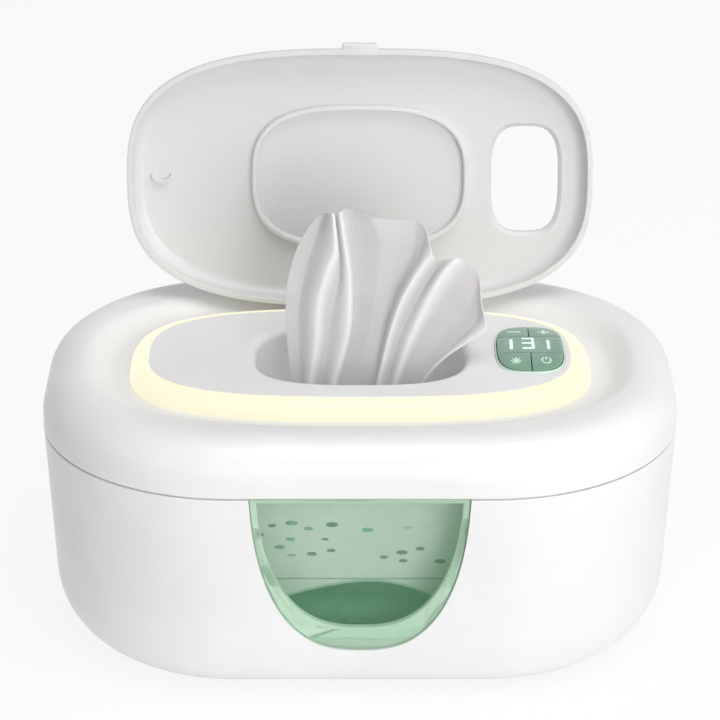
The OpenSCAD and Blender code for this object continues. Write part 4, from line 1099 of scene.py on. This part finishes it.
class WARMER_OT_pack(bpy.types.Operator):
    """Model the wrapped pack of wipes: a crowned flow-wrap with a crimped fin at each end"""
    bl_idname = "warmer.pack"
    bl_label = "Pack of wipes"

    def execute(self, context):
        a, b, y, low, tall = 94.0, 54.0, -15.0, 24.3, 61.5
        top = low + tall
        levels = [(a * 0.5, b * 0.5, low), (a - 9, b - 7, low + 0.05), (a - 5, b - 4, low + 0.6),
                  (a - 2.6, b - 2.2, low + 2.4), (a - 1.0, b - 0.9, low + 7), (a - 0.3, b - 0.3, low + 16),
                  (a, b, low + tall / 2), (a - 0.3, b - 0.3, top - 17), (a - 1.0, b - 0.9, top - 8),
                  (a - 2.8, b - 2.2, top - 3.4), (a - 5.5, b - 4.2, top - 1.5), (a - 10, b - 7, top - 0.7),
                  (a * 0.75, b * 0.72, top - 0.2), (a * 0.4, b * 0.4, top)]
        pack = loft("pack_wrap", levels, (0, y), 7, 120, "capped")
        film = finish("Pack film", "print", {"Field": colour("film"), "Deep": colour("film_deep"),
                                             "Accent": colour("film_accent")})
        z = low + tall / 2
        fins = [block("fin", (p, y - 32, z - 0.4), (q, y + 32, z + 0.4), 0.2)
                for p, q in ((-a - 3, -a + 2), (a - 2, a + 3))]
        combine(pack, fins, "UNION")
        finish_piece(pack, "base", "pack_film", film, "wipes_pack", angle=50)
        return {"FINISHED"}


class WARMER_OT_inside(bpy.types.Operator):
    """Give every carried-over solid its own finish"""
    bl_idname = "warmer.inside"
    bl_label = "Inner pieces"

    def execute(self, context):
        white, steel = inner_finish(), steel_finish()
        dark = plastic("Dark plastic", linear((0.13, 0.13, 0.14)), 0.42, 0.8, 0.4)
        soft = plastic("Gasket rubber", linear((0.80, 0.81, 0.80)), 0.6, 0.94, 0.5)
        rubber = plastic("Foot rubber", linear((0.52, 0.53, 0.53)), 0.75, 0.9, 0.7)
        board, pale_board = (finish(name, "board", {"Colour": linear(rgb), "Track": linear(track)})
                             for name, rgb, track in (("Green board", (0.13, 0.33, 0.21), (0.18, 0.42, 0.27)),
                                                      ("White board", (0.92, 0.92, 0.90), (0.86, 0.86, 0.83))))
        kapton = plastic("Heater film", linear((0.78, 0.45, 0.18)), 0.3, 0.85, 0.2, Coat_Weight=0.3)
        felt = shaded("Insulation felt", "metal", (0.86, 0.86, 0.82), (0.78, 0.78, 0.73), 0.8)
        plate = shaded("Rolled aluminium", "metal", (0.82, 0.83, 0.84), (0.72, 0.73, 0.74), 0.3, Metallic=1.0)
        ceramic = plastic("Ceramic body", linear((0.90, 0.86, 0.72)), 0.4, 0.9, 0.3)
        red = plastic("Red lead", linear((0.72, 0.17, 0.15)), 0.45, 0.9, 0.3)
        led = lit_finish("Light", linear((1.0, 0.95, 0.75)), linear((1.0, 0.93, 0.7)), 0.6)
        dress = {
            white: ("bottom_cover", "wipe_tub", "inner_cover"),
            steel: ("base_screws", "tub_screws", "cover_screws", "board_screws", "thermostat", "rear_hinge_pins",
                    "lid_hinge_pin"),
            dark: ("power_board_parts", "power_socket", "display_module", "key_switches"),
            soft: ("tub_gasket", "throat_seal"), rubber: ("rubber_feet",),
            board: ("power_board", "control_board"), pale_board: ("led_board",), kapton: ("heater_film",),
            felt: ("insulation_pad",), plate: ("heater_plate",), ceramic: ("thermal_fuse",),
            red: ("heater_leads",), led: ("leds",),
        }
        for made, names in dress.items():
            for name in names:
                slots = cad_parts[name].data.materials
                slots.clear()
                slots.append(made)
        return {"FINISHED"}


WORLD_LIGHT = 0.31
# Area lamps: name, place, size and power
LAMPS = (("key_lamp", (0.78, -1.78, 0.56), 1.1, 17.8), ("top_lamp", (0.25, -0.45, 1.75), 1.2, 12.5),
         ("side_lamp", (1.25, -0.35, 1.25), 0.9, 3.2))
LIT_PLACE = Vector((0, 0, 0.08))
# The photograph's camera, in metres, degrees below the horizon and millimetres
CAMERA_PLACE, CAMERA_PITCH, CAMERA_LENS = (0, -1.23755, 0.64501), 23.4207, 170.006


def whiten(tree, plain, kind, share, end):
    """Let a shader look white where it is seen directly, mirrored or through the window"""
    path = tree.nodes.new("ShaderNodeLightPath").outputs
    seen = calc(tree, "MAXIMUM", calc(tree, "MAXIMUM", path["Is Camera Ray"], path["Is Glossy Ray"]),
                path["Is Transmission Ray"])
    white = node(tree, kind, Color=(1, 1, 1, 1), Strength=1.0)
    blend = tree.nodes.new("ShaderNodeMixShader")
    for socket, value in zip(blend.inputs, (times(tree, seen, share), plain.outputs[0], white.outputs[0])):
        tree.links.new(value, socket)
    tree.links.new(blend.outputs[0], tree.nodes[end].inputs["Surface"])


class WARMER_OT_stage(bpy.types.Operator):
    """Set the pale floor, the soft studio light and the camera at the photograph's angle"""
    bl_idname = "warmer.stage"
    bl_label = "Floor, light and camera"

    def execute(self, context):
        begin()
        bpy.ops.mesh.primitive_plane_add(size=30, location=(0, 0, 0))
        floor = bpy.context.object
        floor.name = "studio_floor"
        made = bpy.data.materials.new("Studio floor")
        made.use_nodes = True
        tree = made.node_tree
        principled = tree.nodes["Principled BSDF"]
        principled.inputs["Base Color"].default_value = (0.97, 0.97, 0.97, 1)
        principled.inputs["Roughness"].default_value = 0.8
        principled.inputs["Specular IOR Level"].default_value = 0.1
        whiten(tree, principled, "Emission", 0.86, "Material Output")
        floor.data.materials.append(made)
        world = bpy.data.worlds.new("Studio")
        context.scene.world = world
        world.use_nodes = True
        tree = world.node_tree
        plain = tree.nodes["Background"]
        plain.inputs["Color"].default_value = (1, 1, 1, 1)
        plain.inputs["Strength"].default_value = WORLD_LIGHT
        whiten(tree, plain, "Background", 1.0, "World Output")
        for name, place, wide, power in LAMPS:
            begin()
            bpy.ops.object.light_add(type="AREA", location=place)
            lamp = bpy.context.object
            lamp.name = name
            lamp.data.size = wide
            lamp.data.energy = power
            lamp.rotation_euler = (LIT_PLACE - Vector(place)).to_track_quat("-Z", "Y").to_euler()
        begin()
        bpy.ops.object.camera_add(location=CAMERA_PLACE, rotation=(math.radians(90 - CAMERA_PITCH), 0, 0))
        camera = bpy.context.object
        camera.name = "photo_camera"
        camera.data.lens = CAMERA_LENS
        camera.data.sensor_width = 36
        context.scene.camera = camera
        context.scene.view_settings.view_transform = "Standard"
        return {"FINISHED"}


OPERATORS = (WARMER_OT_stage, WARMER_OT_base, WARMER_OT_housing, WARMER_OT_deck, WARMER_OT_glow_ring,
             WARMER_OT_lid, WARMER_OT_panel, WARMER_OT_window, WARMER_OT_pack, WARMER_OT_wipe, WARMER_OT_inside)


class WARMER_PT_sidebar(bpy.types.Panel):
    """Sizes, colours and pieces of the wipe warmer"""
    bl_idname = "WARMER_PT_sidebar"
    bl_label = "Baby Wipe Warmer"
    bl_space_type = "VIEW_3D"
    bl_region_type = "UI"
    bl_category = "Warmer"

    def draw(self, context):
        for title, group in (("Sizes", context.scene.warmer_sizes), ("Colours", context.scene.warmer_colours)):
            box = self.layout.box()
            box.label(text=title)
            for name in group.__annotations__:
                box.prop(group, name)
        for operator in OPERATORS:
            self.layout.operator(operator.bl_idname)


CLASSES = (WarmerSizes, WarmerColours) + OPERATORS + (WARMER_PT_sidebar,)


def register():
    for cls in CLASSES:
        bpy.utils.register_class(cls)
    bpy.types.Scene.warmer_sizes = bpy.props.PointerProperty(type=WarmerSizes)
    bpy.types.Scene.warmer_colours = bpy.props.PointerProperty(type=WarmerColours)


def unregister():
    del bpy.types.Scene.warmer_colours
    del bpy.types.Scene.warmer_sizes
    for cls in reversed(CLASSES):
        bpy.utils.unregister_class(cls)


def main():
    register()
    bpy.ops.warmer.stage()
    bpy.ops.warmer.base()
    bpy.ops.warmer.housing()
    bpy.ops.warmer.deck()
    bpy.ops.warmer.glow_ring()
    bpy.ops.warmer.lid()
    bpy.ops.warmer.panel()
    bpy.ops.warmer.window()
    bpy.ops.warmer.pack()
    bpy.ops.warmer.wipe()
    bpy.ops.warmer.inside()


if __name__ == "__main__":
    main()
